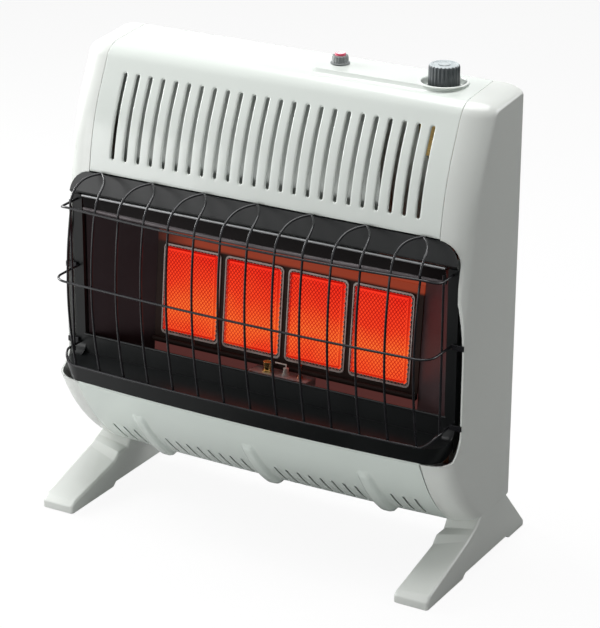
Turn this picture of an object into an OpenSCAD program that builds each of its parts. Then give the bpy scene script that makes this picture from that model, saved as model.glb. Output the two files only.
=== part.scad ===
// Free-standing radiant gas heater: four glowing ceramic plaques in a firebox behind a wire guard,
// in a pale casing on two moulded feet. Millimetres, floor at z = 0, front towards -Y.

/* [Casing] */
// Half of the width over both side covers
body_half_w = 322; // [290:1:390]
// Width of each moulded side cover
cover_w = 42; // [34:1:52]
// How far a side cover falls away towards its outer face
cover_crown = 21; // [12:0.5:26]
// Wall of the moulded side covers
cover_wall = 2.5; // [2:0.1:3.5]
// Thickness of the sheet-steel panels
sheet = 1.5; // [1:0.1:2]
// Height of the casing's underside above the floor
foot_h = 70; // [60:1:90]
// Height of the chin, from the underside up to the bezel
chin_h = 125; // [115:1:150]
// Height of the casing above the bezel
crown_h = 182.5; // [170:0.5:220]
// Depth of the flat top, from the back to the brow
top_depth = 95.2; // [90:0.1:110]
// Depth at the shoulder, where the front turns down to the bezel
shoulder_depth = 143; // [135:0.5:160]
// Depth at the chin, the furthest forward point of the casing
chin_depth = 203.1; // [190:0.1:230]
// Depth halfway round the curve under the chin
belly_depth = 155.1; // [140:0.1:170]
// Depth of the flat underside
keel_depth = 101.7; // [90:0.1:120]
// Bow of the chin in plan, at the middle
chin_bow = 10; // [4:0.5:14]

/* [Louvres] */
// Number of tall slots in the upper panel
louvre_count = 24; // [12:1:28]
// Width of a tall slot
louvre_w = 6; // [4:0.5:8]
// Height of a tall slot
louvre_h = 118; // [80:1:120]
// Space between the outer slots and the seams
louvre_margin = 36.4; // [20:0.1:60]
// Slots between two ribs of the lower panel
intake_count = 8; // [4:1:9]
// Slots outside each outer rib
intake_outer = 3; // [2:1:3]
// Pitch of the lower slots
intake_pitch = 18.5; // [14:0.5:19]
// Width of a lower slot
intake_w = 3; // [2:0.5:5]

/* [Bezel] */
// Height of the bezel
bezel_h = 308; // [290:1:380]
// Space between the bezel's side and the casing's side
bezel_inset = 12; // [10:0.5:16]
// Depth of the bezel's sides
bezel_side_depth = 20.5; // [16:0.5:24]
// Width of the bezel's side flanges
bezel_flange = 16; // [12:0.5:22]
// Height of the bezel's bowed lower lip
lip_h = 26.3; // [20:0.1:30]
// How far the lip's upper edge leans out
lip_flare = 6; // [0:0.5:8]
// Height of the upstand behind the lip's shelf
riser_h = 29; // [20:0.5:32]
// Height of the bezel's sloping top flange
brow_h = 31; // [24:0.5:40]
// Height of the fascia that hangs under the brow
fascia_drop = 21; // [14:0.5:24]
// How far the fascia's lower edge bows out
fascia_bow = 12; // [2:0.5:13]
// Thickness of the bezel's sheet
bezel_sheet = 2; // [1.5:0.1:2.5]

/* [Guard] */
// Diameter of the guard wire
wire_d = 3.5; // [3:0.1:4]
// Number of hairpins, each with two upright legs
hairpin_count = 7; // [7:1:7]
// Space between the outer legs and the bezel's sides
guard_margin = 32.2; // [28:0.1:50]
// How far the middle rail stands in front of the bezel's sides
guard_depth = 76; // [60:0.5:80]
// Corner radius of the rails in plan
rail_corner = 22; // [16:1:24]

/* [Burner] */
// Number of ceramic plaques
plaque_count = 4; // [4:1:4]
// Width of a plaque
plaque_w = 97.5; // [80:0.5:99]
// Height of a plaque
plaque_h = 137.7; // [110:0.1:150]
// Thickness of a plaque
plaque_t = 12; // [10:0.5:14]
// Space between two plaques
plaque_gap = 6.95; // [5:0.05:10]
// Backward tilt of the plaques, in degrees
plaque_tilt = 5.6; // [3:0.1:8]
// Height of the plaques above the bezel's lower edge
plaque_rise = 53.4; // [48:0.1:70]
// Distance from the casing's back to the foot of the plaques
plaque_y_depth = 88.3; // [84:0.1:96]
// Depth of the gas chamber behind the plaques
plenum_depth = 42.8; // [34:0.1:44]

/* [Controls] */
// Diameter of the control knob
knob_d = 44.5; // [38:0.5:48]
// Height of the control knob
knob_h = 32; // [26:0.5:36]
// Number of grip flutes on the knob
knob_flutes = 24; // [16:1:30]
// How far the knob is pushed in to light the pilot
knob_travel = 4; // [3:0.5:4]
// Diameter of the valve spindle
spindle_d = 8; // [6:0.5:9]
// Radius of the round ends of the raised control deck
deck_r = 33; // [28:0.5:36]
// Distance between the centres of the deck's round ends
deck_len = 175.5; // [150:0.5:200]
// Depth of the dish around the knob
dish_depth = 12.3; // [10:0.1:14]
// Diameter of the igniter's button
button_d = 15; // [12:0.5:16]
// How far the igniter's button is pushed in
button_travel = 5; // [4:0.5:6]

/* [Feet] */
// Length of a foot, toe to heel
foot_len = 308; // [260:1:360]
// Width of a foot
foot_w = 52.6; // [44:0.2:60]
// Space between a foot's outer face and the casing's side
foot_inset = 3; // [2:0.5:6]
// How far the heel stands out behind the casing
heel_overhang = 66; // [50:1:80]
// Height of the toe
toe_h = 15; // [12:0.5:20]

/* [Gas] */
// Outside diameter of the inlet's flare thread
inlet_d = 15.88; // [12.7:0.01:19.05]
// Outside diameter of the main gas tubes
tube_d = 8; // [6:0.5:9]
// Outside diameter of the pilot tube
pilot_tube_d = 4; // [3:0.5:5]

/* [Hidden] */
$fn = 48;

// Fits
// Gap between two sheets or covers that meet
seam_gap = 0.5;
// Gap between a part and the seat that carries it
seat_gap = 0.3;
// Radial clearance of a running fit
run_gap = 0.05;
// Radial clearance of a screw in its hole
screw_gap = 0.2;
// Overlap that makes a cut pass right through
eps = 0.5;

// Places that follow from the driving sizes
seam_x = body_half_w - cover_w;
back_y = foot_len / 2 - heel_overhang;
bezel_z0 = foot_h + chin_h;
bezel_z1 = bezel_z0 + bezel_h;
top_z = bezel_z1 + crown_h;
brow_drop = 8.5;
shoulder_drop = 108.5;
chin_rise = 7;
belly_rise = 41.7;

// Outline of the casing seen from its right side, as [y, z] corners: back foot, back top, brow,
// shoulder, chin, belly and keel
casing_corners = [
    [back_y, foot_h],
    [back_y, top_z],
    [back_y - top_depth, top_z - brow_drop],
    [back_y - shoulder_depth, top_z - shoulder_drop],
    [back_y - chin_depth, bezel_z0 + chin_rise],
    [back_y - belly_depth, foot_h + belly_rise],
    [back_y - keel_depth, foot_h]
];
casing_radii = [4, 4, 33, 350, 28, 300, 12];
// How much of the crown each edge of that outline takes: back, top, front edges and underside
crown_share = [0, 0.65, 1, 1, 1, 1, 0.5];
crown_angles = [0, 20, 38, 54, 68, 80, 90];

// Upper panel
panel_z0 = bezel_z1 + 1.5;
panel_fold = 12;
back_flange = 12;
louvre_z = top_z - 100.2;
louvre_pitch = 2 * (seam_x - louvre_margin) / (louvre_count - 1);

// Control deck, level on the gently sloping top
deck_z = top_z - 0.7;
knob_x = seam_x - 56.5;
knob_y = back_y - 42;
igniter_x = knob_x - deck_len + 14;
igniter_y = knob_y + 4;
dish_r = deck_r - 3;
dish_z = deck_z - dish_depth;
knob_z = dish_z + knob_travel + 0.7;

// Lower panel
chin_top = bezel_z0 - 1;
panel_floor_y = back_y - 48;
rib_pitch = 185.5 * seam_x / 280;
rib_count = 3;
chin_stations = 8;

// Bezel
bezel_half_w = body_half_w - bezel_inset;
bezel_back_y = back_y - 135;
bezel_face_y = bezel_back_y - bezel_side_depth;
bezel_brow_y = back_y - shoulder_depth - 13;
brow_face_y = bezel_brow_y - 6;
cover_rim_y = bezel_face_y - 2.5;
bezel_corner = 32;
bezel_heel_r = 40;
bezel_sweep_r = 16;
lip_y = back_y - chin_depth - 10.9;
lip_corner = 31;
lip_z1 = bezel_z0 + lip_h;
lip_flange = 20;
riser_bead = 1.8;
opening_half_w = bezel_half_w - bezel_flange;

// Guard
wire_r = wire_d / 2;
wire_touch = wire_d + 0.15;
leg_pitch = 2 * (bezel_half_w - guard_margin) / (2 * hairpin_count - 1);
rail_end_x = bezel_half_w - bezel_flange / 2;
rail_run_x = rail_end_x - rail_corner;
rail_seat_y = bezel_face_y - seat_gap;
// Each rail: height of its front run, height of its ends, set-back from the middle rail, bow
rail_top = [bezel_z1 - brow_h - 7.2, bezel_z1 - brow_h - 13, 7.3, 15.7];
rail_middle = [bezel_z0 + 162.6, bezel_z0 + 162.6, 0, 9];
rail_bottom = [lip_z1 + wire_r + seat_gap, lip_z1 + 17, 15.3, 8];
leg_foot_z = lip_z1 + 2 * seat_gap;
apex_y = bezel_brow_y - 2;
apex_z = bezel_z1 + wire_r + seat_gap;
end_wire_y = bezel_face_y - guard_depth + rail_corner + 8.2
    + max(rail_top[2] + rail_top[3], rail_bottom[2] + rail_bottom[3]);
clip_z = [rail_middle[0], rail_bottom[1] + 2];

// Burner, in a frame that lies on the tilted plane of the plaques
plaque_pitch = plaque_w + plaque_gap;
plaque_z = bezel_z0 + plaque_rise;
plaque_y = back_y - plaque_y_depth;
plaque_r = 5;
plaque_rim = 5;
plaque_recess = 1;
burner_half_w = plaque_count * plaque_pitch / 2 + 3.1;
burner_v0 = -8;
burner_v1 = plaque_h + 8.3;
frame_lap = 5.5;
frame_w0 = -3;
frame_w1 = -1;
plenum_w1 = -3.2;
plenum_w0 = plenum_w1 - plenum_depth;
ledge_t = 1.6;
gasket_t = 1.8;
ledge_w1 = -plaque_t - 0.2 - gasket_t;
bar_r = 4.5;
bar_v = -10;
bar_w = 1.4;

// Screens of expanded metal, pressed into trays over the plaques
screen_t = 0.8;
screen_rise = 7.3;
screen_side = 6.75;
screen_foot = 9;
screen_head = 5.2;
screen_cols = 4;
screen_rows = 5;
screen_strand = 2.4;

// Firebox sheets
fire_sheet = 1.2;
fire_half_w = burner_half_w + 6;
fire_v1 = plaque_h + 34;
fire_floor_z = lip_z1 - 7.5;
fire_v0 = -33 - (plaque_z - fire_floor_z - 34.6) / cos(plaque_tilt);
fire_floor_y = bezel_face_y + bezel_sheet + seat_gap;
hood_y1 = bezel_face_y + 10;
hood_z1 = bezel_z1 - brow_h - 1;
half_fascia = opening_half_w - 3;
fascia_y = bezel_face_y - 2.5;
fascia_z1 = hood_z1 - 4;
fascia_z0 = fascia_z1 - fascia_drop;
fascia_bead = 2.2;
fascia_bar_r = 3.2;
fascia_xs = [for (k = [0 : 24]) half_fascia * (k / 12 - 1)];
shield_x1 = knob_x - 70;
shield_y = back_y - 88;
shield_z1 = top_z - 24;

// Pilot group, on a shelf below the plaques
pilot_x = -15;
electrode_x = 15;
couple_x = 38;
pilot_w = 14;
shelf_v = -18;
pilot_port_v = -24;

// Gas train, in the control bay on the right
valve_z0 = dish_z - 87.5;
valve_z1 = valve_z0 + 55;
valve_half_w = 27.5;
valve_half_d = 24;
boss_h = 10;
spring_h = 8;
washer_z = valve_z1 + boss_h + spring_h;
washer_t = 1.2;
spindle_flange_z = washer_z + washer_t + 0.1;
port_h = 10;
port_z = valve_z0 - port_h;
inlet_port = [knob_x + 8.5, knob_y];
burner_port = [knob_x - 8.5, knob_y - 12];
pilot_port = [knob_x - 8.5, knob_y + 12];
mixer_v = 30;
mixer_w = -25;
mixer_r = 15;
mixer_len = 46;
injector_r = 5;
regulator_x = knob_x + 16.5;
regulator_y = back_y - 36;
regulator_r = 26;
pan_z = foot_h + cover_wall + 0.5;
pan_half_w = seam_x + 8;
regulator_z0 = pan_z + sheet + 17.4;
regulator_z1 = regulator_z0 + 30;
inlet_z = pan_z - 21;
inlet_collar_r = inlet_d / 2 + 1.2;

// Back panel and its fasteners
back_panel_y = back_y - 2 - sheet;
keyhole_x = 200 * body_half_w / 322;
keyhole_z = top_z - 65;
back_screw_x = body_half_w - 11;
back_screw_z = [foot_h + 60, (foot_h + top_z) / 2, top_z - 55];
foot_screw_x = seam_x - 7;
foot_screw_y = [back_y - 78, back_y - 18];
foot_screw_z = foot_h - 10;

// Feet
foot_x1 = body_half_w - foot_inset;
foot_x0 = foot_x1 - foot_w;

// Colours, as the object shows them
casing_colour = "#dfe3df";
bezel_colour = "#3a3b40";
firebox_colour = "#4a2c2c";
wire_colour = "#26272b";
plaque_colour = "#ff4a1c";
steel_colour = "#a9adb1";
brass_colour = "#c2a04c";
copper_colour = "#b87040";
knob_colour = "#33383f";

// Geometry helpers

function unit(v) = v / norm(v);

// Corner of an anticlockwise outline after the edges before and after it have moved inwards
function moved_corner(before, corner, after, move_in, move_out) =
    let (a = unit(corner - before),
         b = unit(after - corner),
         na = [-a[1], a[0]],
         nb = [-b[1], b[0]],
         det = na[0] * nb[1] - na[1] * nb[0])
    corner + [move_in * nb[1] - move_out * na[1], na[0] * move_out - nb[0] * move_in] / det;

// Anticlockwise outline with edge i, from corner i to the next, moved inwards by moves[i]
function inset_outline(corners, moves) =
    let (n = len(corners))
    [for (i = [0 : n - 1])
        moved_corner(corners[(i + n - 1) % n], corners[i], corners[(i + 1) % n],
                     moves[(i + n - 1) % n], moves[i])];

// Points of a round corner
function round_corner(before, corner, after, r, steps) =
    let (a = unit(before - corner),
         b = unit(after - corner),
         open = acos(a * b),
         centre = corner + unit(a + b) * r / sin(open / 2),
         start = corner + a * r / tan(open / 2) - centre,
         from = atan2(start[1], start[0]))
    [for (k = [0 : steps])
        centre + r * [cos(from + (180 - open) * k / steps), sin(from + (180 - open) * k / steps)]];

// Convex anticlockwise outline with round corners
function round_outline(corners, radii, steps = 6) =
    let (n = len(corners))
    [for (i = [0 : n - 1])
        each round_corner(corners[(i + n - 1) % n], corners[i], corners[(i + 1) % n], radii[i], steps)];

// Casing outline with its edges moved inwards
function casing_outline(moves, trim = 0, steps = 6) =
    round_outline(inset_outline(casing_corners, moves),
                  [for (r = casing_radii) max(r - trim, 2)], steps);

function same(value) = [for (i = [0 : len(casing_corners) - 1]) value];

// Solid through a list of rings that have equal numbers of points
module loft(rings) {
    m = len(rings[0]);
    last = len(rings) - 1;
    sides = [for (k = [0 : last - 1], i = [0 : m - 1])
        each [[k * m + i, (k + 1) * m + (i + 1) % m, k * m + (i + 1) % m],
              [k * m + i, (k + 1) * m + i, (k + 1) * m + (i + 1) % m]]];
    caps = [[for (i = [0 : m - 1]) i], [for (i = [m - 1 : -1 : 0]) last * m + i]];
    polyhedron(points = [for (ring = rings) each ring], faces = concat(caps, sides), convexity = 6);
}

// Sheet between four corners that need not lie in one plane, thickened by a vector
module twisted_sheet(a, b, c, d, out) {
    inner = [a, b, c, d];
    polyhedron(points = concat(inner, [for (p = inner) p + out]), faces = [
        [0, 2, 1], [0, 3, 2], [4, 5, 6], [4, 6, 7], [0, 1, 5], [0, 5, 4], [1, 2, 6], [1, 6, 5],
        [2, 3, 7], [2, 7, 6], [3, 0, 4], [3, 4, 7]
    ]);
}

// Directions along a route, and normals carried along it without twist
function route_tangents(route) =
    let (n = len(route))
    [for (i = [0 : n - 1]) unit(route[min(i + 1, n - 1)] - route[max(i - 1, 0)])];

function carried_normals(tangents, normal, i = 0) =
    i == len(tangents) ? [] :
    let (now = unit(normal - (normal * tangents[i]) * tangents[i]))
    concat([now], carried_normals(tangents, now, i + 1));

// Round tube or wire along a route
module tube_along(route, r, sides = 8, start_normal = [1, 0.02, 0.03]) {
    tangents = route_tangents(route);
    normals = carried_normals(tangents, start_normal);
    rings = [for (i = [0 : len(route) - 1])
        let (n = normals[i], b = cross(tangents[i], n))
        [for (k = [0 : sides - 1])
            route[i] + r * (cos(360 * k / sides) * n + sin(360 * k / sides) * b)]];
    loft(rings);
}

// Points on a smooth curve through a few hand-set points
function smooth_route(points, steps) =
    let (n = len(points))
    [for (i = [0 : n - 2], k = [0 : steps - (i == n - 2 ? 0 : 1)])
        let (a = points[max(i - 1, 0)], b = points[i], c = points[i + 1],
             d = points[min(i + 2, n - 1)], t = k / steps)
        0.5 * (2 * b + (c - a) * t + (2 * a - 5 * b + 4 * c - d) * t * t
               + (3 * b - 3 * c + d - a) * t * t * t)];

// Extrusion along X of a shape drawn in [y, z]
module along_x(x0, x1) {
    translate([x0, 0, 0])
        rotate([90, 0, 90])
            linear_extrude(x1 - x0)
                children();
}

// Extrusion towards the back of a shape drawn in [x, z], from y0 to y1
module along_y(y0, y1) {
    translate([0, y1, 0])
        rotate([90, 0, 0])
            linear_extrude(y1 - y0)
                children();
}

// Upright extrusion between two heights of a shape drawn in [x, y]
module upright(z0, z1) {
    translate([0, 0, z0])
        linear_extrude(z1 - z0)
            children();
}

module mirrored() {
    children();
    mirror([1, 0, 0])
        children();
}

// Slot with round ends, upright in its own plane
module slot(w, h) {
    square([w, h - w], center = true);
    for (end = [-1, 1])
        translate([0, end * (h - w) / 2])
            circle(d = w);
}

module round_rectangle(x0, y0, x1, y1, r) {
    translate([x0 + r, y0])
        square([x1 - x0 - 2 * r, y1 - y0]);
    translate([x0, y0 + r])
        square([x1 - x0, y1 - y0 - 2 * r]);
    for (x = [x0 + r, x1 - r], y = [y0 + r, y1 - r])
        translate([x, y])
            circle(r);
}

module rod(x, y, z0, z1, r) {
    translate([x, y, z0])
        cylinder(h = z1 - z0, r = r);
}

// Frame of the burner: x across, second axis up the plaques, third axis out of their faces
module on_burner() {
    translate([0, plaque_y, plaque_z])
        rotate([90 - plaque_tilt, 0, 0])
            children();
}

function burner_point(x, v, w) =
    [x, plaque_y + sin(plaque_tilt) * v - cos(plaque_tilt) * w,
     plaque_z + cos(plaque_tilt) * v + sin(plaque_tilt) * w];

function plaque_x(i) = (i - (plaque_count + 1) / 2) * plaque_pitch;

// Close-coiled spring between two heights
module coil_spring(x, y, z0, z1, coil_r, r, turns) {
    steps = 10 * turns;
    tube_along([for (k = [0 : steps])
        [x + coil_r * cos(36 * k), y + coil_r * sin(36 * k), z0 + r + (z1 - z0 - 2 * r) * k / steps]],
        r, 6, [0.1, 0.1, 1]);
}

// Casing

// Solid of the right-hand side cover, shrunk by wall, from x0 outwards
module cover_solid(x0, wall, back) {
    run = cover_w - wall;
    rings = [for (a = crown_angles)
        let (drop = cover_crown * (1 - cos(a)),
             moves = [for (i = [0 : len(crown_share) - 1])
                 i == 0 ? back : wall + crown_share[i] * drop])
        [for (p = casing_outline(moves, drop + wall)) [seam_x + run * sin(a), p[0], p[1]]]];
    lead = [for (p = rings[0]) [x0, p[1], p[2]]];
    loft(x0 < seam_x ? concat([lead], rings) : rings);
}

// Space that the bezel takes out of the front of the side covers, seen from the side
module bezel_recess() {
    y1 = cover_rim_y;
    z0 = bezel_z0 - seam_gap;
    difference() {
        translate([y1 - 400, z0])
            square([400, bezel_h + 2 * seam_gap]);
        difference() {
            translate([y1 - bezel_heel_r, z0 - eps])
                square(bezel_heel_r + eps);
            translate([y1 - bezel_heel_r, z0 + bezel_heel_r])
                circle(bezel_heel_r);
        }
    }
}

// Outline of the bezel seen from the front, grown by a gap
module bezel_front(gap) {
    w = bezel_half_w + gap;
    round_rectangle(-w, bezel_z0 - gap, w, bezel_z1 + gap, bezel_corner + gap);
    translate([-w, bezel_z0 - gap])
        square([2 * w, bezel_corner + gap]);
}

module side_cover() {
    difference() {
        cover_solid(seam_x, 0, 0);
        cover_solid(seam_x - 5, cover_wall, 2);
        along_x(seam_x - 5, back_screw_x - 8)
            translate([back_y - 4, foot_h + cover_wall + 4])
                square([8, top_z - foot_h - 2 * cover_wall - 20]);
        along_x(seam_x - 5, body_half_w + 5)
            bezel_recess();
        along_y(back_y - 400, bezel_back_y + seam_gap)
            bezel_front(seam_gap);
        for (z = back_screw_z)
            translate([back_screw_x, back_y - 6, z])
                rotate([-90, 0, 0])
                    cylinder(h = 12, r = 2 + screw_gap, $fn = 24);
    }
}

module side_cover_right() {
    color(casing_colour)
        side_cover();
}

module side_cover_left() {
    color(casing_colour)
        mirror([1, 0, 0])
            side_cover();
}

module deck_outline(r) {
    translate([knob_x - deck_len, knob_y - r])
        square([deck_len, 2 * r]);
    for (x = [knob_x - deck_len, knob_x])
        translate([x, knob_y])
            circle(r);
}

// Sheet of the upper panel, seen from the side
module upper_section() {
    difference() {
        polygon(casing_outline(same(0)));
        polygon(casing_outline(same(sheet), sheet));
        translate([back_y - 400, 0])
            square([800, panel_z0]);
        translate([back_y - sheet - eps, 0])
            square([10, top_z - back_flange]);
    }
    // Fold that stiffens the lower edge
    translate([back_y - shoulder_depth - 10.2, panel_z0])
        square([panel_fold, sheet]);
}

// Space under the skin of the top, seen from the side
module under_top() {
    polygon(casing_outline(same(sheet), sheet));
}

module upper_front_panel() {
    half = seam_x - seam_gap;
    color(casing_colour)
        difference() {
            union() {
                difference() {
                    along_x(-half, half)
                        upper_section();
                    upright(deck_z - 30, top_z + 10)
                        deck_outline(deck_r - sheet);
                }
                // Wall and level skin of the control deck
                intersection() {
                    upright(deck_z - 12, deck_z)
                        difference() {
                            deck_outline(deck_r);
                            deck_outline(deck_r - sheet);
                        }
                    along_x(-half, half)
                        translate([0, 12])
                            under_top();
                }
                upright(deck_z - sheet, deck_z)
                    deck_outline(deck_r - sheet / 2);
                rod(knob_x, knob_y, dish_z - sheet, deck_z, dish_r + sheet);
            }
            rod(knob_x, knob_y, dish_z, deck_z + 5, dish_r);
            rod(knob_x, knob_y, dish_z - 5, deck_z, spindle_d / 2 + 5);
            rod(igniter_x, igniter_y, deck_z - 5, deck_z + 5, button_d / 2 + 1.5 + screw_gap);
            for (i = [0 : louvre_count - 1])
                translate([-(seam_x - louvre_margin) + i * louvre_pitch, 0, louvre_z])
                    along_y(-400 + back_y, back_y - 60)
                        slot(louvre_w, louvre_h);
        }
}

// Forward bow of the chin at a place across it
function bow_at(x) = chin_bow * (1 - (x / seam_x) * (x / seam_x));

function chin_ring(x, wall, back, top) =
    let (f = bow_at(x),
         c = casing_corners,
         belly = c[5] - [f, 0],
         edge = [c[4][0] + 2.6 - f, chin_top],
         brow = edge + (edge - belly) * (top - chin_top) / (chin_top - belly[1]),
         lower = [[back, foot_h], [back, top], brow, belly, c[6] - [0.8 * f, 0]],
         moves = [0, 0, wall, wall, wall])
    [for (p = round_outline(inset_outline(lower, moves), [2, 2, 3, 300 - wall, 12 - wall])) [x, p[0], p[1]]];

module chin_solid(half, wall, back, top) {
    loft([for (k = [0 : chin_stations]) chin_ring(half * (2 * k / chin_stations - 1), wall, back, top)]);
}

// Direction square to the curve under the chin
belly_lean = 45;

module belly_cut(x) {
    translate([x, back_y - belly_depth + 22, foot_h + belly_rise - 19.5])
        rotate([90 + belly_lean, 0, 0])
            children();
}

// Embossed rib that widens towards the underside
module chin_rib(x) {
    f = bow_at(x);
    hull() {
        translate([x, back_y - belly_depth - 27.9 - f, foot_h + belly_rise + 41.3])
            sphere(5, $fn = 16);
        translate([x, back_y - keel_depth - 1.3 - f, foot_h + 10.5])
            sphere(10.5, $fn = 16);
    }
}

module chin_slot(x) {
    belly_cut(x)
        linear_extrude(70, center = true)
            slot(intake_w, 56, $fn = 16);
}

module lower_front_panel() {
    half = seam_x - seam_gap;
    color(casing_colour)
        // Free-form pressing, taken as one moulded surface
        resize([0, 0, 0])
            difference() {
                union() {
                    chin_solid(half, 0, panel_floor_y, chin_top);
                    for (i = [0 : rib_count - 1])
                        chin_rib((i - 1) * rib_pitch);
                }
                chin_solid(half + 5, sheet, panel_floor_y + 20, chin_top + 20);
                for (i = [0 : rib_count - 2], k = [0 : intake_count - 1])
                    chin_slot((i - 0.5) * rib_pitch + (k - (intake_count - 1) / 2) * intake_pitch);
                for (side = [-1, 1], k = [0 : intake_outer - 1])
                    chin_slot(side * (rib_pitch + 28 + k * intake_pitch));
                for (side = [-1, 1])
                    rod(side * foot_screw_x, foot_screw_y[0], foot_h - 5, foot_h + 5, 2.4 + screw_gap);
            }
}

module back_panel() {
    color(casing_colour)
        difference() {
            along_y(back_panel_y - seam_gap, back_panel_y - seam_gap + sheet)
                difference() {
                    union() {
                        round_rectangle(-back_screw_x - 6, foot_h + 24, back_screw_x + 6, top_z - 22, 12);
                        translate([-seam_x + 2, pan_z + sheet + seam_gap])
                            square([2 * seam_x - 4, top_z - sheet - 1.5 - pan_z - sheet - seam_gap]);
                    }
                    for (x = [-keyhole_x, keyhole_x]) {
                        translate([x, keyhole_z])
                            circle(6);
                        translate([x - 2.5, keyhole_z])
                            square([5, 12]);
                        translate([x, keyhole_z + 12])
                            circle(2.5);
                    }
                    for (i = [-7 : 7])
                        translate([i * 26 * seam_x / 280, foot_h + 75])
                            slot(8, 60);
                    for (x = [-back_screw_x, back_screw_x], z = back_screw_z)
                        translate([x, z])
                            circle(2 + screw_gap);
                }
        }
}

module base_pan() {
    color(steel_colour)
        difference() {
            union() {
                translate([-pan_half_w, back_y - 93, pan_z])
                    cube([2 * pan_half_w, 88, sheet]);
                // Turned-up front and back edges
                for (y = [back_y - 93, back_y - 5 - sheet])
                    translate([-seam_x + 4, y, pan_z])
                        cube([2 * seam_x - 8, sheet, 10]);
            }
            for (side = [-1, 1], y = foot_screw_y)
                rod(side * foot_screw_x, y, pan_z - 5, pan_z + 5, 2.4 + screw_gap);
            rod(regulator_x, regulator_y, pan_z - 5, pan_z + 5, inlet_collar_r + seat_gap);
        }
}

// Panel screws: six pan heads at the back
module panel_screws() {
    color(steel_colour)
        for (x = [-back_screw_x, back_screw_x], z = back_screw_z)
            translate([x, back_y, z])
                rotate([-90, 0, 0]) {
                    translate([0, 0, 0.1])
                        cylinder(h = 2.4, r = 4);
                    translate([0, 0, -9])
                        cylinder(h = 10, r = 2);
                }
}

// Feet

// Side outlines of a foot at its outer and inner face, as [y, z] corners; the inner one has a notch
// in its neck
toe_y = -foot_len / 2;
heel_y = foot_len / 2;
foot_outer = [
    [toe_y, 0], [toe_y + 109, 0], [toe_y + 116, 6], [heel_y - 59, 6], [heel_y - 50, 0], [heel_y, 0],
    [heel_y, 8], [back_y, foot_h + 9], [back_y - 70, foot_h + 14], [back_y - 89, foot_h - 3],
    [back_y - 97, foot_h - 7], [back_y - 108, foot_h - 12], [back_y - 120, foot_h - 17],
    [toe_y + 9, toe_h + 5], [toe_y, toe_h - 3]
];
foot_inner = [
    [toe_y, 0], [toe_y + 109, 0], [toe_y + 116, 6], [heel_y - 59, 6], [heel_y - 50, 0], [heel_y, 0],
    [heel_y, 6], [back_y, foot_h - 0.3], [back_y - 70, foot_h - 0.3], [back_y - 85, foot_h - 9],
    [back_y - 93, foot_h - 20.4], [back_y - 116, foot_h - 20], [back_y - 128, foot_h - 31],
    [toe_y + 8, toe_h + 2], [toe_y, toe_h - 3]
];

module foot() {
    difference() {
        loft([[for (p = foot_inner) [foot_x0, p[0], p[1]]],
              [for (p = foot_outer) [foot_x1, p[0], p[1]]]]);
        cover_solid(seam_x - 40, -seat_gap, -seat_gap);
        for (y = foot_screw_y) {
            rod(foot_screw_x, y, -1, foot_screw_z, 6);
            rod(foot_screw_x, y, 0, foot_h + 20, 2.4 + screw_gap);
        }
    }
}

module foot_right() {
    color(casing_colour)
        foot();
}

module foot_left() {
    color(casing_colour)
        mirror([1, 0, 0])
            foot();
}

module foot_screws() {
    color(steel_colour)
        for (side = [-1, 1], y = foot_screw_y) {
            rod(side * foot_screw_x, y, foot_screw_z - 4.1, foot_screw_z - 0.1, 5);
            rod(side * foot_screw_x, y, foot_screw_z - 0.2, pan_z + sheet + 3, 2.4);
        }
}

// Bezel and firebox

// Plan of the bezel's lower lip, moved inwards, reaching back to y1, as anticlockwise [x, y] points
function lip_points(move, y1) =
    let (run = bezel_half_w - lip_corner,
         corner_y = lip_y + chin_bow * (run / seam_x) * (run / seam_x) + lip_corner,
         steps = 12,
         front = [for (k = [0 : steps])
             let (x = run * (2 * k / steps - 1))
             [x, lip_y + move + chin_bow * (x / seam_x) * (x / seam_x)]],
         turn = [for (a = [15 : 15 : 90])
             [run + (lip_corner - move) * sin(a), corner_y - (lip_corner - move) * cos(a)]],
         right = concat(turn, [[bezel_half_w - move, y1]]),
         left = [for (i = [len(right) - 1 : -1 : 0]) [-right[i][0], right[i][1]]])
    concat(left, front, right);

// Solid of the lip, leaning out towards its upper edge
module lip_solid(move, y1, z0, z1) {
    lean = lip_flare / lip_h;
    loft([for (z = [z0, z1])
        [for (p = lip_points(move + lean * (lip_z1 - z), y1)) [p[0], p[1], z]]]);
}

// Bezel's side, seen from the side: brow, upright and a sweep down to the lip
module bezel_side(back) {
    difference() {
        union() {
            translate([bezel_face_y, bezel_z0])
                square([back - bezel_face_y, bezel_h - brow_h]);
            polygon([[bezel_face_y, bezel_z1 - brow_h - 6], [back, bezel_z1 - brow_h - 6],
                     [back, bezel_z1], [bezel_brow_y, bezel_z1], [brow_face_y, bezel_z1 - brow_h]]);
            translate([bezel_face_y - bezel_sweep_r, lip_z1 - eps])
                square([bezel_sweep_r + eps, bezel_sweep_r + eps]);
        }
        translate([bezel_face_y - bezel_sweep_r, lip_z1 + bezel_sweep_r])
            circle(bezel_sweep_r);
    }
}

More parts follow.
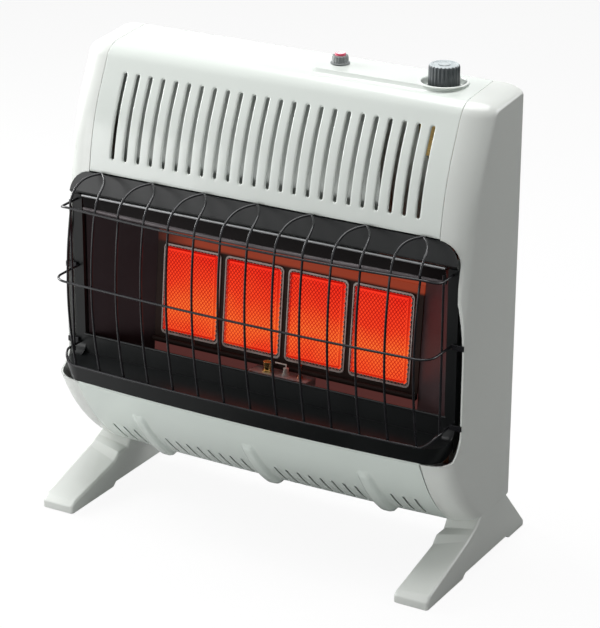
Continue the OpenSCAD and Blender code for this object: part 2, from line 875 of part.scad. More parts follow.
module bezel() {
    w = bezel_half_w;
    t = bezel_sheet;
    inner_x = opening_half_w;
    color(bezel_colour)
        difference() {
            intersection() {
                union() {
                    // Bowed lip with a folded foot, under a shelf that runs back to the upstand
                    difference() {
                        lip_solid(0, bezel_back_y, bezel_z0, lip_z1);
                        lip_solid(t, bezel_back_y + 5, bezel_z0 + t, lip_z1 - t);
                        upright(bezel_z0 - eps, bezel_z0 + t + eps)
                            polygon(lip_points(lip_flange, bezel_back_y + 5));
                        translate([-inner_x, bezel_face_y + t, lip_z1 - t - eps])
                            cube([2 * inner_x, 100, t + 2 * eps]);
                    }
                    translate([-inner_x - t, bezel_face_y, lip_z1 - t])
                        cube([2 * (inner_x + t), t, riser_h + t]);
                    translate([-inner_x - t, bezel_face_y + t / 2, lip_z1 + riser_h])
                        rotate([0, 90, 0])
                            cylinder(h = 2 * (inner_x + t), r = riser_bead);
                    mirrored() {
                        along_x(w - t, w)
                            bezel_side(bezel_back_y);
                        along_x(inner_x, w - eps)
                            difference() {
                                bezel_side(bezel_back_y);
                                translate([t, 0])
                                    bezel_side(bezel_back_y + 10);
                                square([800, 2 * (lip_z1 - eps)], center = true);
                            }
                        along_x(inner_x, inner_x + t)
                            translate([bezel_face_y + t / 2, lip_z1 - t])
                                square([bezel_side_depth - t / 2, bezel_h - lip_h - brow_h]);
                        // Outer flange, behind the rim of the side cover
                        along_x(w - t, body_half_w - cover_wall - seam_gap)
                            translate([bezel_back_y - t, bezel_z0 + 45])
                                square([t, bezel_h - 85]);
                    }
                    // Sloping top flange with its back fold and its rolled lower edge
                    along_x(-w, w) {
                        polygon([[bezel_brow_y, bezel_z1], [brow_face_y, bezel_z1 - brow_h],
                                 [brow_face_y + t, bezel_z1 - brow_h], [bezel_brow_y + t, bezel_z1]]);
                        translate([bezel_brow_y, bezel_z1 - t])
                            square([bezel_back_y - bezel_brow_y, t]);
                        translate([brow_face_y, bezel_z1 - brow_h])
                            square([10, t]);
                    }
                }
                along_y(bezel_face_y - 200, bezel_back_y + 50)
                    union() {
                        bezel_front(0);
                        translate([-body_half_w, bezel_z0 + 40])
                            square([2 * body_half_w, bezel_h - 75]);
                    }
            }
            // Round corner at the back of the lip
            along_x(-w - 5, w + 5)
                difference() {
                    translate([bezel_back_y - bezel_heel_r, bezel_z0 - eps])
                        square(bezel_heel_r + eps);
                    translate([bezel_back_y - bezel_heel_r, bezel_z0 + bezel_heel_r])
                        circle(bezel_heel_r);
                }
        }
}

module firebox_back() {
    color(firebox_colour)
        on_burner()
            translate([0, 0, frame_w0 - 0.4 - fire_sheet])
                linear_extrude(fire_sheet)
                    difference() {
                        translate([-fire_half_w, fire_v0])
                            square([2 * fire_half_w, fire_v1 - fire_v0]);
                        translate([-burner_half_w - 0.6, burner_v0 - 0.6])
                            square([2 * burner_half_w + 1.2, burner_v1 - burner_v0 + 1.2]);
                        translate([pilot_x, pilot_port_v])
                            circle(pilot_tube_d / 2 + 2);
                    }
}

// Reflector that opens out from the plaques to the bezel
module firebox_side() {
    foot_b = burner_point(fire_half_w, fire_v0 + 2, frame_w0);
    head_b = burner_point(fire_half_w, fire_v1 - 2, frame_w0);
    front_x = opening_half_w - 1 - fire_sheet;
    front_y = bezel_face_y + 8;
    z0 = fire_floor_z + fire_sheet + seat_gap;
    twisted_sheet([fire_half_w, foot_b[1], z0], [front_x, front_y, z0], [front_x, front_y, hood_z1 - 9],
                  [fire_half_w, head_b[1], head_b[2]], [fire_sheet, 0, 0]);
}

module firebox_side_right() {
    color(firebox_colour)
        firebox_side();
}

module firebox_side_left() {
    color(firebox_colour)
        mirror([1, 0, 0])
            firebox_side();
}

// Bowed plan of the fascia's lower bar
function fascia_bar_y(x) = fascia_y + 4 - fascia_bow * (1 - (x / half_fascia) * (x / half_fascia));

module firebox_hood() {
    back = burner_point(0, fire_v1 + 0.5, frame_w0 - 1.6);
    front = [hood_y1, hood_z1 - 8];
    along = unit([front[0] - back[1], front[1] - back[2]]);
    square_off = [along[1], -along[0]];
    up = square_off[1] > 0 ? square_off : -square_off;
    half_back = fire_half_w + 4;
    half_front = opening_half_w - 2;
    heel = [back[1], back[2]];
    color(firebox_colour) {
        intersection() {
            along_x(-half_front, half_front)
                polygon([heel, front, front + up * fire_sheet, heel + up * fire_sheet]);
            upright(back[2] - 50, hood_z1 + 60)
                polygon([[-half_back, back[1] + 20], [half_back, back[1] + 20], [half_back, back[1]],
                         [half_front, hood_y1 + 4], [half_front, hood_y1 - 40], [-half_front, hood_y1 - 40],
                         [-half_front, hood_y1 + 4], [-half_back, back[1]]]);
        }
        // Lip that joins the hood to the rolled top edge of the fascia
        along_x(-half_fascia, half_fascia) {
            polygon([[hood_y1 + 1.5, front[1] - 0.5], [hood_y1 + 1.5, front[1] - 0.5 + fire_sheet],
                     [fascia_y, fascia_z1 + fire_sheet / 2], [fascia_y, fascia_z1 - fire_sheet / 2]]);
            translate([fascia_y, fascia_z1])
                circle(fascia_bead);
        }
        // Fascia that bows out to a rolled bar along its lower edge
        loft([for (x = fascia_xs)
            let (y = fascia_bar_y(x))
            [[x, y - fire_sheet / 2, fascia_z0], [x, y + fire_sheet / 2, fascia_z0],
             [x, fascia_y + fire_sheet / 2, fascia_z1], [x, fascia_y - fire_sheet / 2, fascia_z1]]]);
        tube_along([for (x = fascia_xs) [x, fascia_bar_y(x), fascia_z0]], fascia_bar_r, 10, [0, 0, 1]);
    }
}

module firebox_floor() {
    back = burner_point(0, fire_v0, frame_w0)[1];
    side_x = opening_half_w - 1;
    color(firebox_colour)
        upright(fire_floor_z, fire_floor_z + fire_sheet)
            polygon([[-fire_half_w, back], [-side_x, bezel_face_y + 8], [-side_x, fire_floor_y],
                     [side_x, fire_floor_y], [side_x, bezel_face_y + 8], [fire_half_w, back]]);
}

// Upright sheet behind the tall slots, standing on the hood
module heat_shield() {
    back = burner_point(0, fire_v1 + 0.5, frame_w0 - 1.6);
    rise = (hood_z1 - 8 - back[2]) / (hood_y1 - back[1]);
    z0 = back[2] + (shield_y - back[1]) * rise + fire_sheet * sqrt(1 + rise * rise) + seat_gap + 0.3;
    color(steel_colour)
        along_x(-seam_x + 6, shield_x1) {
            translate([shield_y, z0])
                square([fire_sheet, shield_z1 - z0]);
            translate([shield_y, shield_z1 - fire_sheet])
                square([30, fire_sheet]);
        }
}

// Guard

function rail_y(rail, x) =
    bezel_face_y - guard_depth + rail[2] + rail[3] * (x / rail_run_x) * (x / rail_run_x);

// Plan of half a rail: along the front, round the corner and back to the bezel
function rail_half(rail) =
    let (front_y = rail_y(rail, rail_run_x),
         rise = rail[1] - rail[0])
    concat(
        [for (k = [1 : 5]) let (x = rail_run_x * k / 5) [x, rail_y(rail, x), rail[0]]],
        [for (a = [18 : 18 : 90])
            [rail_run_x + rail_corner * sin(a), front_y + rail_corner * (1 - cos(a)),
             rail[0] + rise * (1 - cos(2 * a)) / 2]],
        [[rail_end_x, rail_seat_y, rail[1]]]);

module guard_rail(rail) {
    right = rail_half(rail);
    left = [for (i = [len(right) - 1 : -1 : 0]) [-right[i][0], right[i][1], right[i][2]]];
    color(wire_colour)
        tube_along(concat(left, [[0, rail_y(rail, 0), rail[0]]], right), wire_r, 8, [0.02, 0.03, 1]);
}

module guard_rail_top() {
    guard_rail(rail_top);
}

module guard_rail_middle() {
    guard_rail(rail_middle);
}

module guard_rail_bottom() {
    guard_rail(rail_bottom);
}

// Value at z of the parabola through three [z, y] points
function through_three(p, z) =
    p[0][1] * (z - p[1][0]) * (z - p[2][0]) / ((p[0][0] - p[1][0]) * (p[0][0] - p[2][0]))
    + p[1][1] * (z - p[0][0]) * (z - p[2][0]) / ((p[1][0] - p[0][0]) * (p[1][0] - p[2][0]))
    + p[2][1] * (z - p[0][0]) * (z - p[1][0]) / ((p[2][0] - p[0][0]) * (p[2][0] - p[1][0]));

// Upright leg of a hairpin, bulging behind the three rails
function leg_points(x) =
    let (rails = [for (rail = [rail_bottom, rail_middle, rail_top]) [rail[0], rail_y(rail, x) + wire_touch]])
    [for (k = [0 : 8])
        let (z = leg_foot_z + (rail_top[0] - leg_foot_z) * k / 8)
        [x, through_three(rails, z), z]];

// Both legs lean back above the top rail and meet in a tight loop on the bezel's upper edge
function hairpin_route(i) =
    let (mid = (2 * i - 1 - hairpin_count) * leg_pitch,
         half = leg_pitch / 2,
         left = leg_points(mid - half),
         right = leg_points(mid + half),
         turns = [12, 24, 36, 48, 59, 69, 78, 85],
         bend = [for (a = turns)
             [pow(cos(a), 0.62), apex_y - (apex_y - (left[8][1] + right[8][1]) / 2) * cos(a),
              rail_top[0] + (apex_z - rail_top[0]) * sin(0.88 * a) / sin(0.88 * 90)]],
         n = len(bend) - 1)
    concat(
        left,
        [for (p = bend) [mid - half * p[0], p[1], p[2]]],
        [[mid, apex_y, apex_z]],
        [for (k = [n : -1 : 0]) [mid + half * bend[k][0], bend[k][1], bend[k][2]]],
        [for (k = [8 : -1 : 0]) right[k]]);

module guard_hairpin(i) {
    color(wire_colour)
        tube_along(hairpin_route(i), wire_r, 8);
}

module guard_end_wire() {
    color(wire_colour)
        rod(rail_end_x - wire_touch, end_wire_y, rail_bottom[1] - 6, rail_top[1] + 6, wire_r);
}

module guard_end_wire_right() {
    guard_end_wire();
}

module guard_end_wire_left() {
    mirror([1, 0, 0])
        guard_end_wire();
}

// Strap clips beside the rail ends, reaching from the bezel's flange over the rim of the cover
module guard_clips() {
    x0 = rail_end_x + wire_r + seat_gap;
    color(wire_colour)
        mirrored()
            for (z = clip_z) {
                translate([x0, cover_rim_y - 2.2, z - 4])
                    cube([body_half_w - x0, 1.8, 8]);
                translate([x0, cover_rim_y - 2.2, z - 4])
                    cube([4, bezel_face_y - 0.2 - cover_rim_y + 2.2, 8]);
            }
}

// Burner

module burner_plenum() {
    color(steel_colour)
        on_burner()
            difference() {
                translate([-burner_half_w, burner_v0, plenum_w0])
                    cube([2 * burner_half_w, burner_v1 - burner_v0, plenum_w1 - plenum_w0]);
                // Chamber behind the ledge that carries the plaques
                translate([-burner_half_w + sheet, burner_v0 + sheet, plenum_w0 + sheet])
                    cube([2 * (burner_half_w - sheet), burner_v1 - burner_v0 - 2 * sheet,
                          ledge_w1 - ledge_t - plenum_w0 - sheet]);
                for (i = [1 : plaque_count]) {
                    translate([plaque_x(i) - plaque_w / 2 + 6, 6, ledge_w1 - ledge_t - eps])
                        cube([plaque_w - 12, plaque_h - 12, 40]);
                    translate([plaque_x(i) - plaque_w / 2 - seat_gap, -seat_gap, ledge_w1])
                        cube([plaque_w + 2 * seat_gap, plaque_h + 2 * seat_gap, 40]);
                }
                translate([burner_half_w - 5, mixer_v, mixer_w])
                    rotate([0, 90, 0])
                        cylinder(h = 10, r = mixer_r - 2);
            }
}

module burner_front_frame() {
    color(steel_colour)
        on_burner() {
            translate([0, 0, frame_w0])
                linear_extrude(frame_w1 - frame_w0)
                    difference() {
                        translate([-burner_half_w - frame_lap, burner_v0 - frame_lap])
                            square([2 * (burner_half_w + frame_lap), burner_v1 - burner_v0 + 2 * frame_lap]);
                        for (i = [1 : plaque_count])
                            round_rectangle(plaque_x(i) - plaque_w / 2 - seat_gap, -seat_gap,
                                            plaque_x(i) + plaque_w / 2 + seat_gap, plaque_h + seat_gap,
                                            plaque_r + seat_gap);
                    }
            // Round bar rolled along the lower edge
            translate([-burner_half_w - frame_lap, bar_v, bar_w])
                rotate([0, 90, 0])
                    cylinder(h = 2 * (burner_half_w + frame_lap), r = bar_r);
        }
}

module plaque(i) {
    x0 = plaque_x(i) - plaque_w / 2;
    color(plaque_colour)
        on_burner()
            difference() {
                translate([0, 0, -plaque_t])
                    linear_extrude(plaque_t)
                        round_rectangle(x0, 0, x0 + plaque_w, plaque_h, plaque_r);
                translate([0, 0, -plaque_recess])
                    linear_extrude(plaque_recess + eps)
                        round_rectangle(x0 + plaque_rim, plaque_rim, x0 + plaque_w - plaque_rim,
                                        plaque_h - plaque_rim, plaque_r - 2);
            }
}

module plaque_gaskets() {
    color("#e8e6df")
        on_burner()
            for (i = [1 : plaque_count])
                translate([plaque_x(i) - plaque_w / 2, 0, ledge_w1 + 0.1])
                    linear_extrude(gasket_t)
                        difference() {
                            square([plaque_w, plaque_h]);
                            translate([7, 7])
                                square([plaque_w - 14, plaque_h - 14]);
                        }
}

// Plan of a screen's tray, moved inwards
module screen_plan(move) {
    translate([screen_side + move, screen_foot + move])
        square([plaque_w - 2 * (screen_side + move), plaque_h - screen_foot - screen_head - 2 * move]);
}

// Staggered diamond openings of a screen
module screen_openings() {
    cell = [(plaque_w - 2 * screen_side) / screen_cols,
            (plaque_h - screen_foot - screen_head) / screen_rows];
    half = [cell[0] / 2 - screen_strand, cell[1] / 2 - screen_strand];
    for (row = [1 : 2 * screen_rows - 1])
        for (col = [1 : screen_cols - (row % 2 == 0 ? 1 : 0)])
            translate([screen_side + cell[0] * (row % 2 == 0 ? col : col - 0.5),
                       screen_foot + cell[1] * row / 2])
                polygon([[-half[0], 0], [0, -half[1]], [half[0], 0], [0, half[1]]]);
}

module plaque_screens() {
    color(steel_colour)
        on_burner()
            for (i = [1 : plaque_count])
                translate([plaque_x(i) - plaque_w / 2, 0, 0.1]) {
                    // Cut flange on the plaque's rim
                    linear_extrude(screen_t)
                        difference() {
                            round_rectangle(0.6, 0.6, plaque_w - 0.6, plaque_h - 0.6, plaque_r - 0.6);
                            screen_plan(screen_t);
                        }
                    linear_extrude(screen_rise)
                        difference() {
                            screen_plan(0);
                            screen_plan(screen_t);
                        }
                    translate([0, 0, screen_rise - screen_t])
                        linear_extrude(screen_t)
                            difference() {
                                screen_plan(0);
                                screen_openings();
                            }
                }
}

// Gas train

mixer_at = burner_point(burner_half_w + 0.1, mixer_v, mixer_w);

module mixing_tube() {
    color(steel_colour)
        translate(mixer_at)
            rotate([0, 90, 0])
                difference() {
                    union() {
                        cylinder(h = mixer_len, r = mixer_r);
                        cylinder(h = 2, r = mixer_r + 4);
                    }
                    translate([0, 0, -1])
                        cylinder(h = mixer_len - 2, r = mixer_r - 2);
                    cylinder(h = mixer_len + 1, r = injector_r + 0.1);
                    // Air windows
                    translate([0, 0, mixer_len - 12])
                        for (a = [0, 90])
                            rotate([0, 0, a])
                                cube([4 * mixer_r, 12, 12], center = true);
                }
}

module injector() {
    color(brass_colour)
        translate(mixer_at + [mixer_len, 0, 0])
            rotate([0, 90, 0]) {
                translate([0, 0, -8])
                    cylinder(h = 10, r = injector_r);
                translate([0, 0, 0.2])
                    cylinder(h = 10, r = 8, $fn = 6);
                cylinder(h = 16, r = injector_r);
            }
}

module pilot_bracket() {
    shelf_out = 26;
    back_w = frame_w0 - 0.2;
    color(steel_colour)
        on_burner()
            difference() {
                union() {
                    translate([-40, shelf_v, back_w])
                        cube([95, fire_sheet, shelf_out - back_w]);
                    translate([-40, fire_v0 + 2, back_w])
                        cube([95, shelf_v - fire_v0 - 2 + fire_sheet, fire_sheet]);
                }
                for (hole = [[pilot_x, 6], [electrode_x, 4], [couple_x, 3]])
                    translate([hole[0], shelf_v - 5, pilot_w])
                        rotate([-90, 0, 0])
                            cylinder(h = 12, r = hole[1] + 0.1);
                translate([pilot_x, pilot_port_v, back_w - 5])
                    cylinder(h = 12, r = pilot_tube_d / 2 + 2);
            }
}

// Upright round piece of the pilot group, from v0 to v1
module pilot_rod(x, v0, v1, r) {
    on_burner()
        translate([x, v0, pilot_w])
            rotate([-90, 0, 0])
                cylinder(h = v1 - v0, r = r);
}

module pilot_burner() {
    color(brass_colour)
        difference() {
            union() {
                pilot_rod(pilot_x, -30, -8, 6);
                pilot_rod(pilot_x, shelf_v + fire_sheet + 0.1, -14, 8);
                pilot_rod(pilot_x, -8, -2, 7);
            }
            pilot_rod(pilot_x, -6, 0, 5);
        }
}

module spark_electrode() {
    color("#f0ece0") {
        pilot_rod(electrode_x, -28, -6, 4);
        pilot_rod(electrode_x, shelf_v + fire_sheet + 0.1, -14, 5.5);
        pilot_rod(electrode_x, -7, -0.5, 1);
        on_burner()
            translate([electrode_x - 18, -1, pilot_w])
                rotate([0, 90, 0])
                    cylinder(h = 18, r = 0.9);
    }
}

module thermocouple() {
    color(copper_colour) {
        pilot_rod(couple_x, -28, -12, 3);
        pilot_rod(couple_x, shelf_v + fire_sheet + 0.1, -13.5, 4.5);
        pilot_rod(couple_x, -13, 3, 2);
    }
}

module gas_valve() {
    color(brass_colour)
        difference() {
            union() {
                upright(valve_z0, valve_z1)
                    round_rectangle(knob_x - valve_half_w, knob_y - valve_half_d, knob_x + valve_half_w,
                                    knob_y + valve_half_d, 8);
                rod(knob_x, knob_y, valve_z1 - eps, valve_z1 + boss_h, 14);
                for (port = [inlet_port, burner_port, pilot_port])
                    rod(port[0], port[1], port_z, valve_z0 + eps, 6.5);
            }
            rod(knob_x, knob_y, valve_z1 - 24, valve_z1 + boss_h + 1, spindle_d / 2 + run_gap);
        }
}

// Channel that carries the valve on the back panel
module valve_bracket() {
    y0 = knob_y + valve_half_d + 0.2;
    y1 = back_panel_y - seam_gap - 0.2;
    color(steel_colour)
        along_x(knob_x - valve_half_w, knob_x + valve_half_w)
            difference() {
                translate([y0, valve_z0 + 8])
                    square([y1 - y0, 40]);
                translate([y0 + sheet, valve_z0 + 8 + sheet])
                    square([y1, 40 - 2 * sheet]);
            }
}

module valve_spindle() {
    color(steel_colour) {
        rod(knob_x, knob_y, valve_z1 - 24 + knob_travel + 1, knob_z + 20, spindle_d / 2);
        rod(knob_x, knob_y, spindle_flange_z, spindle_flange_z + 2.5, spindle_d / 2 + 3);
    }
}

module spindle_washer() {
    color(steel_colour)
        difference() {
            rod(knob_x, knob_y, washer_z, washer_z + washer_t, spindle_d / 2 + 4.5);
            rod(knob_x, knob_y, washer_z - 1, washer_z + washer_t + 1, spindle_d / 2 + 0.15);
        }
}

module spindle_spring() {
    color(steel_colour)
        coil_spring(knob_x, knob_y, valve_z1 + boss_h + 0.1, washer_z - 0.1, spindle_d / 2 + 2.2, 0.4, 3);
}

module control_knob() {
    r = knob_d / 2;
    z1 = knob_z + knob_h;
    color(knob_colour)
        difference() {
            translate([knob_x, knob_y, knob_z])
                rotate_extrude($fn = 96)
                    polygon([[0, 8], [r - 4, 8], [r - 3, 0], [r, 0], [r, 2.4], [r - 0.7, 3.4],
                             [r - 0.9, knob_h - 3], [r - 1.6, knob_h - 1.2], [r - 3.2, knob_h],
                             [r - 5.2, knob_h], [r - 6.2, knob_h - 1.2], [8.6, knob_h - 1.2],
                             [7.6, knob_h], [0, knob_h]]);
            for (i = [0 : knob_flutes - 1])
                rotate_about_knob(i * 360 / knob_flutes)
                    rod(knob_x + r + 0.5, knob_y, knob_z + 4.4, z1 + 5, 1.9);
            rod(knob_x, knob_y, knob_z - 1, knob_z + 20.4, spindle_d / 2 + 0.02);
        }
}

module rotate_about_knob(angle) {
    translate([knob_x, knob_y, 0])
        rotate([0, 0, angle])
            translate([-knob_x, -knob_y, 0])
                children();
}

// Igniter: collar on the deck, barrel below it
collar_h = 12.2;
barrel_r = button_d / 2 + 1.5;
igniter_z0 = deck_z - 44;
button_z0 = deck_z - 3;

module igniter_housing() {
    color(knob_colour)
        difference() {
            union() {
                rod(igniter_x, igniter_y, deck_z + 0.1, deck_z + 2.6, barrel_r + 4.5);
                difference() {
                    rod(igniter_x, igniter_y, deck_z + 1, deck_z + collar_h, barrel_r + 2.5);
                    for (i = [0 : 17])
                        translate([igniter_x, igniter_y, 0])
                            rotate([0, 0, 20 * i])
                                rod(barrel_r + 3.1, 0, deck_z + 2.6, deck_z + collar_h + 1, 1);
                }
                rod(igniter_x, igniter_y, igniter_z0, deck_z + 1, barrel_r);
            }
            rod(igniter_x, igniter_y, igniter_z0 + 4, deck_z + collar_h + 1, button_d / 2 + run_gap);
        }
}

module igniter_nut() {
    color(steel_colour)
        difference() {
            rod(igniter_x, igniter_y, deck_z - sheet - 4.2, deck_z - sheet - 0.2, barrel_r + 4, $fn = 6);
            rod(igniter_x, igniter_y, deck_z - sheet - 6, deck_z, barrel_r + 0.1);
        }
}

module igniter_button() {
    r = button_d / 2;
    color("#d8484c")
        translate([igniter_x, igniter_y, button_z0])
            rotate_extrude()
                polygon([[0, 0], [r, 0], [r, 17.4], [r - 1, 18.4], [r - 2.2, 18.4], [r - 2.8, 17.8],
                         [0, 17.8]]);
}

module igniter_spring() {
    color(steel_colour)
        coil_spring(igniter_x, igniter_y, igniter_z0 + 4.1, button_z0 - 0.1, button_d / 2 - 1.6, 0.6, 6);
}

module pressure_regulator() {
    color(steel_colour) {
        rod(regulator_x, regulator_y, regulator_z0, regulator_z0 + 12, regulator_r - 5);
        rod(regulator_x, regulator_y, regulator_z0 + 8, regulator_z0 + 14, regulator_r);
        rod(regulator_x, regulator_y, regulator_z0 + 14, regulator_z1 - 6, regulator_r - 4);
        rod(regulator_x, regulator_y, regulator_z1 - 6, regulator_z1, 7);
    }
}

module gas_inlet_fitting() {
    color(brass_colour) {
        rod(regulator_x, regulator_y, pan_z + sheet + 0.3, regulator_z0 - 0.1, 12, $fn = 6);
        rod(regulator_x, regulator_y, pan_z - 0.5, pan_z + sheet + 1, inlet_collar_r);
        rod(regulator_x, regulator_y, inlet_z, pan_z, inlet_d / 2);
    }
}

// Routes of the rigid tubes, between ports that they meet with a small gap
supply_route = [
    [inlet_port[0], inlet_port[1], port_z - 0.2], [inlet_port[0], inlet_port[1], port_z - 8],
    [inlet_port[0], inlet_port[1], port_z - 30],
    [regulator_x, knob_y + 15, port_z - 70], [regulator_x, knob_y + 16, port_z - 160],
    [regulator_x, knob_y + 16, regulator_z1 + 60], [regulator_x, regulator_y, regulator_z1 + 24],
    [regulator_x, regulator_y, regulator_z1 + 8], [regulator_x, regulator_y, regulator_z1 + 0.2]
];
injector_end = mixer_at + [mixer_len + 16.2, 0, 0];
burner_route = [
    [burner_port[0], burner_port[1], port_z - 0.2], [burner_port[0], burner_port[1], port_z - 8],
    [burner_port[0], burner_port[1], port_z - 28], [knob_x + 35, knob_y - 15, port_z - 85],
    injector_end + [22, 0, port_z - 150 - injector_end[2]], injector_end + [22, 0, 34],
    injector_end + [18, 0, 9], injector_end + [8, 0, 0], injector_end + [4, 0, 0], injector_end
];
pilot_end = burner_point(pilot_x, pilot_port_v, pilot_w - 6.3);
pilot_route = [
    [pilot_port[0], pilot_port[1], port_z - 0.2], [pilot_port[0], pilot_port[1], port_z - 8],
    [pilot_port[0], pilot_port[1], port_z - 24],
    [burner_half_w + 12, knob_y + 26, port_z - 70], [burner_half_w + 12, knob_y + 26, plaque_z + 30],
    [burner_half_w - 10, knob_y + 20, plaque_z - 22], [120, knob_y - 2, pilot_end[2] - 2],
    [20, knob_y - 8, pilot_end[2]], pilot_end + [0, 24, 0], pilot_end + [0, 10, 0], pilot_end
];

module supply_tube() {
    color(copper_colour)
        tube_along(smooth_route(supply_route, 4), tube_d / 2);
}

module burner_tube() {
    color(copper_colour)
        tube_along(smooth_route(burner_route, 4), tube_d / 2);
}

module pilot_tube() {
    color(copper_colour)
        tube_along(smooth_route(pilot_route, 4), pilot_tube_d / 2);
}

side_cover_left();
side_cover_right();
upper_front_panel();
lower_front_panel();
back_panel();
base_pan();
foot_left();
foot_right();
foot_screws();
panel_screws();
bezel();
firebox_back();
firebox_side_left();
firebox_side_right();
firebox_hood();
firebox_floor();
heat_shield();
for (i = [1 : hairpin_count])
    guard_hairpin(i);
guard_rail_top();
guard_rail_middle();
guard_rail_bottom();
guard_end_wire_left();
guard_end_wire_right();
guard_clips();
burner_plenum();
burner_front_frame();
for (i = [1 : plaque_count])
    plaque(i);
plaque_gaskets();
plaque_screens();
mixing_tube();
injector();
pilot_bracket();
pilot_burner();
spark_electrode();
thermocouple();
gas_valve();
valve_bracket();
valve_spindle();
spindle_washer();
spindle_spring();
control_knob();
igniter_housing();
igniter_nut();
igniter_button();
igniter_spring();
pressure_regulator();
gas_inlet_fitting();
supply_tube();
burner_tube();
pilot_tube();
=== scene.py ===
"""Looks of the free-standing radiant gas heater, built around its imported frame.

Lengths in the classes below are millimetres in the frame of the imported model: floor at z = 0, front
towards -Y, +X to the viewer's right. Points become metres when they turn into Blender meshes.
"""

import logging
import math
from collections.abc import Iterable, Sequence
from dataclasses import dataclass, field
from enum import Enum

import bmesh
import bpy
import numpy as np
from mathutils import Matrix, Vector

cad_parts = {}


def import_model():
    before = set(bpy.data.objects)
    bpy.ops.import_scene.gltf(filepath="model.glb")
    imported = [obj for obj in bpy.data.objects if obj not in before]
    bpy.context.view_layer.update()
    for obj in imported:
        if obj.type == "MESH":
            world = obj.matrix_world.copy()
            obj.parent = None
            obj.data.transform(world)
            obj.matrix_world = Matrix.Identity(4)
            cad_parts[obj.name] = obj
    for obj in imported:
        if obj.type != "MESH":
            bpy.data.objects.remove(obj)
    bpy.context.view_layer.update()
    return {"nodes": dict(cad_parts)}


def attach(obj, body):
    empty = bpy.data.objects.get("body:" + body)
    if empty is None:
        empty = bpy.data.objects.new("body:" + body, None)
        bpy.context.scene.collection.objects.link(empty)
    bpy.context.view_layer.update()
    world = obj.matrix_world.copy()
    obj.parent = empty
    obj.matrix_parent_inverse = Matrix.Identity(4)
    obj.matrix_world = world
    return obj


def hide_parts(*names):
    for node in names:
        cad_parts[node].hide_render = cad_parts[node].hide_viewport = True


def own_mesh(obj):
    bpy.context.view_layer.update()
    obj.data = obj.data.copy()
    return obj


LOG = logging.getLogger("heater")
MM = 0.001
MERGE = 0.001
SMOOTH = 40.0
ROLL_ANGLES = np.radians([0.0, 30.0, 60.0, 90.0])
Colour = tuple[float, float, float]
Point = tuple[float, float, float]
Shape = tuple[np.ndarray, list[tuple[int, ...]]]


class Body(Enum):
    """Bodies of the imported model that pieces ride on."""

    HEATER = "heater"
    KNOB = "knob"
    CARRIER = "knob_carrier"
    BUTTON = "button"


class Side(Enum):
    """The two ends of the heater, as the sign of X."""

    LEFT = -1
    RIGHT = 1


class Socket:
    """A node socket that takes part in Python arithmetic, with one Math node for each operator."""

    def __init__(self, bench: "Bench", socket: bpy.types.NodeSocket) -> None:
        """Keeps a socket and the bench that its tree is built on."""
        self.bench = bench
        self.socket = socket

    def math(self, operation: str, *others: "Socket | float") -> "Socket":
        """Adds a Math node that has this socket as its first value.

        Args:
            operation: Name of the Math node's operation.
            others: The node's remaining values.

        Returns:
            The node's result.
        """
        return self.bench.math(operation, self, *others)

    def __add__(self, other: "Socket | float") -> "Socket":
        """Sum."""
        return self.math("ADD", other)

    __radd__ = __add__

    def __sub__(self, other: "Socket | float") -> "Socket":
        """Difference."""
        return self.math("SUBTRACT", other)

    def __rsub__(self, other: float) -> "Socket":
        """Difference from a number."""
        return self.bench.math("SUBTRACT", other, self)

    def __mul__(self, other: "Socket | float") -> "Socket":
        """Product."""
        return self.math("MULTIPLY", other)

    __rmul__ = __mul__

    def __truediv__(self, other: "Socket | float") -> "Socket":
        """Quotient."""
        return self.math("DIVIDE", other)

    def __abs__(self) -> "Socket":
        """Size without sign."""
        return self.math("ABSOLUTE")

    def at_least(self, other: "Socket | float") -> "Socket":
        """The larger of two values."""
        return self.math("MAXIMUM", other)

    def at_most(self, other: "Socket | float") -> "Socket":
        """The smaller of two values."""
        return self.math("MINIMUM", other)

    def sine(self) -> "Socket":
        """Sine of an angle in radians."""
        return self.math("SINE")

    def step(self, low: float, high: float) -> "Socket":
        """Smooth step from 0 at low to 1 at high."""
        return self.bench.value(
            "ShaderNodeMapRange",
            {"interpolation_type": "SMOOTHSTEP"},
            {"Value": self, "From Min": low, "From Max": high},
        )


class Bench:
    """Adds nodes to one tree: their settings first, then the values or links of their sockets."""

    def __init__(self, tree: bpy.types.NodeTree) -> None:
        """Keeps the tree that nodes are added to."""
        self.tree = tree

    def node(
        self,
        kind: str,
        settings: dict[str, object] | None = None,
        sockets: dict[int | str, object] | None = None,
    ) -> bpy.types.Node:
        """Adds any node.

        Args:
            kind: Blender's name for the type of node.
            settings: Properties of the node; "stops" holds a colour ramp's (place, colour) pairs.
            sockets: Inputs by name or index, each a Socket to link or a value to set.

        Returns:
            The new node.
        """
        made = self.tree.nodes.new(kind)
        for key, setting in (settings or {}).items():
            if key == "stops":
                self._set_stops(made.color_ramp, setting)
            else:
                setattr(made, key, setting)
        for key, content in (sockets or {}).items():
            if isinstance(content, Socket):
                self.tree.links.new(content.socket, made.inputs[key])
            else:
                made.inputs[key].default_value = content
        return made

    def value(
        self,
        kind: str,
        settings: dict[str, object] | None = None,
        sockets: dict[int | str, object] | None = None,
        output: int | str = 0,
    ) -> Socket:
        """Adds any node and returns one of its outputs, ready for arithmetic."""
        return Socket(self, self.node(kind, settings, sockets).outputs[output])

    def math(self, operation: str, *values: "Socket | float") -> Socket:
        """Adds a Math node on up to three values."""
        return self.value("ShaderNodeMath", {"operation": operation}, dict(enumerate(values)))

    @staticmethod
    def _set_stops(ramp: bpy.types.ColorRamp, stops: Sequence[tuple[float, Colour]]) -> None:
        """Sets the stops of a colour ramp, lowest first."""
        while len(ramp.elements) < len(stops):
            ramp.elements.new(1.0)
        for element, (place, colour) in zip(ramp.elements, stops):
            element.position = place
            element.color = (*colour, 1.0)


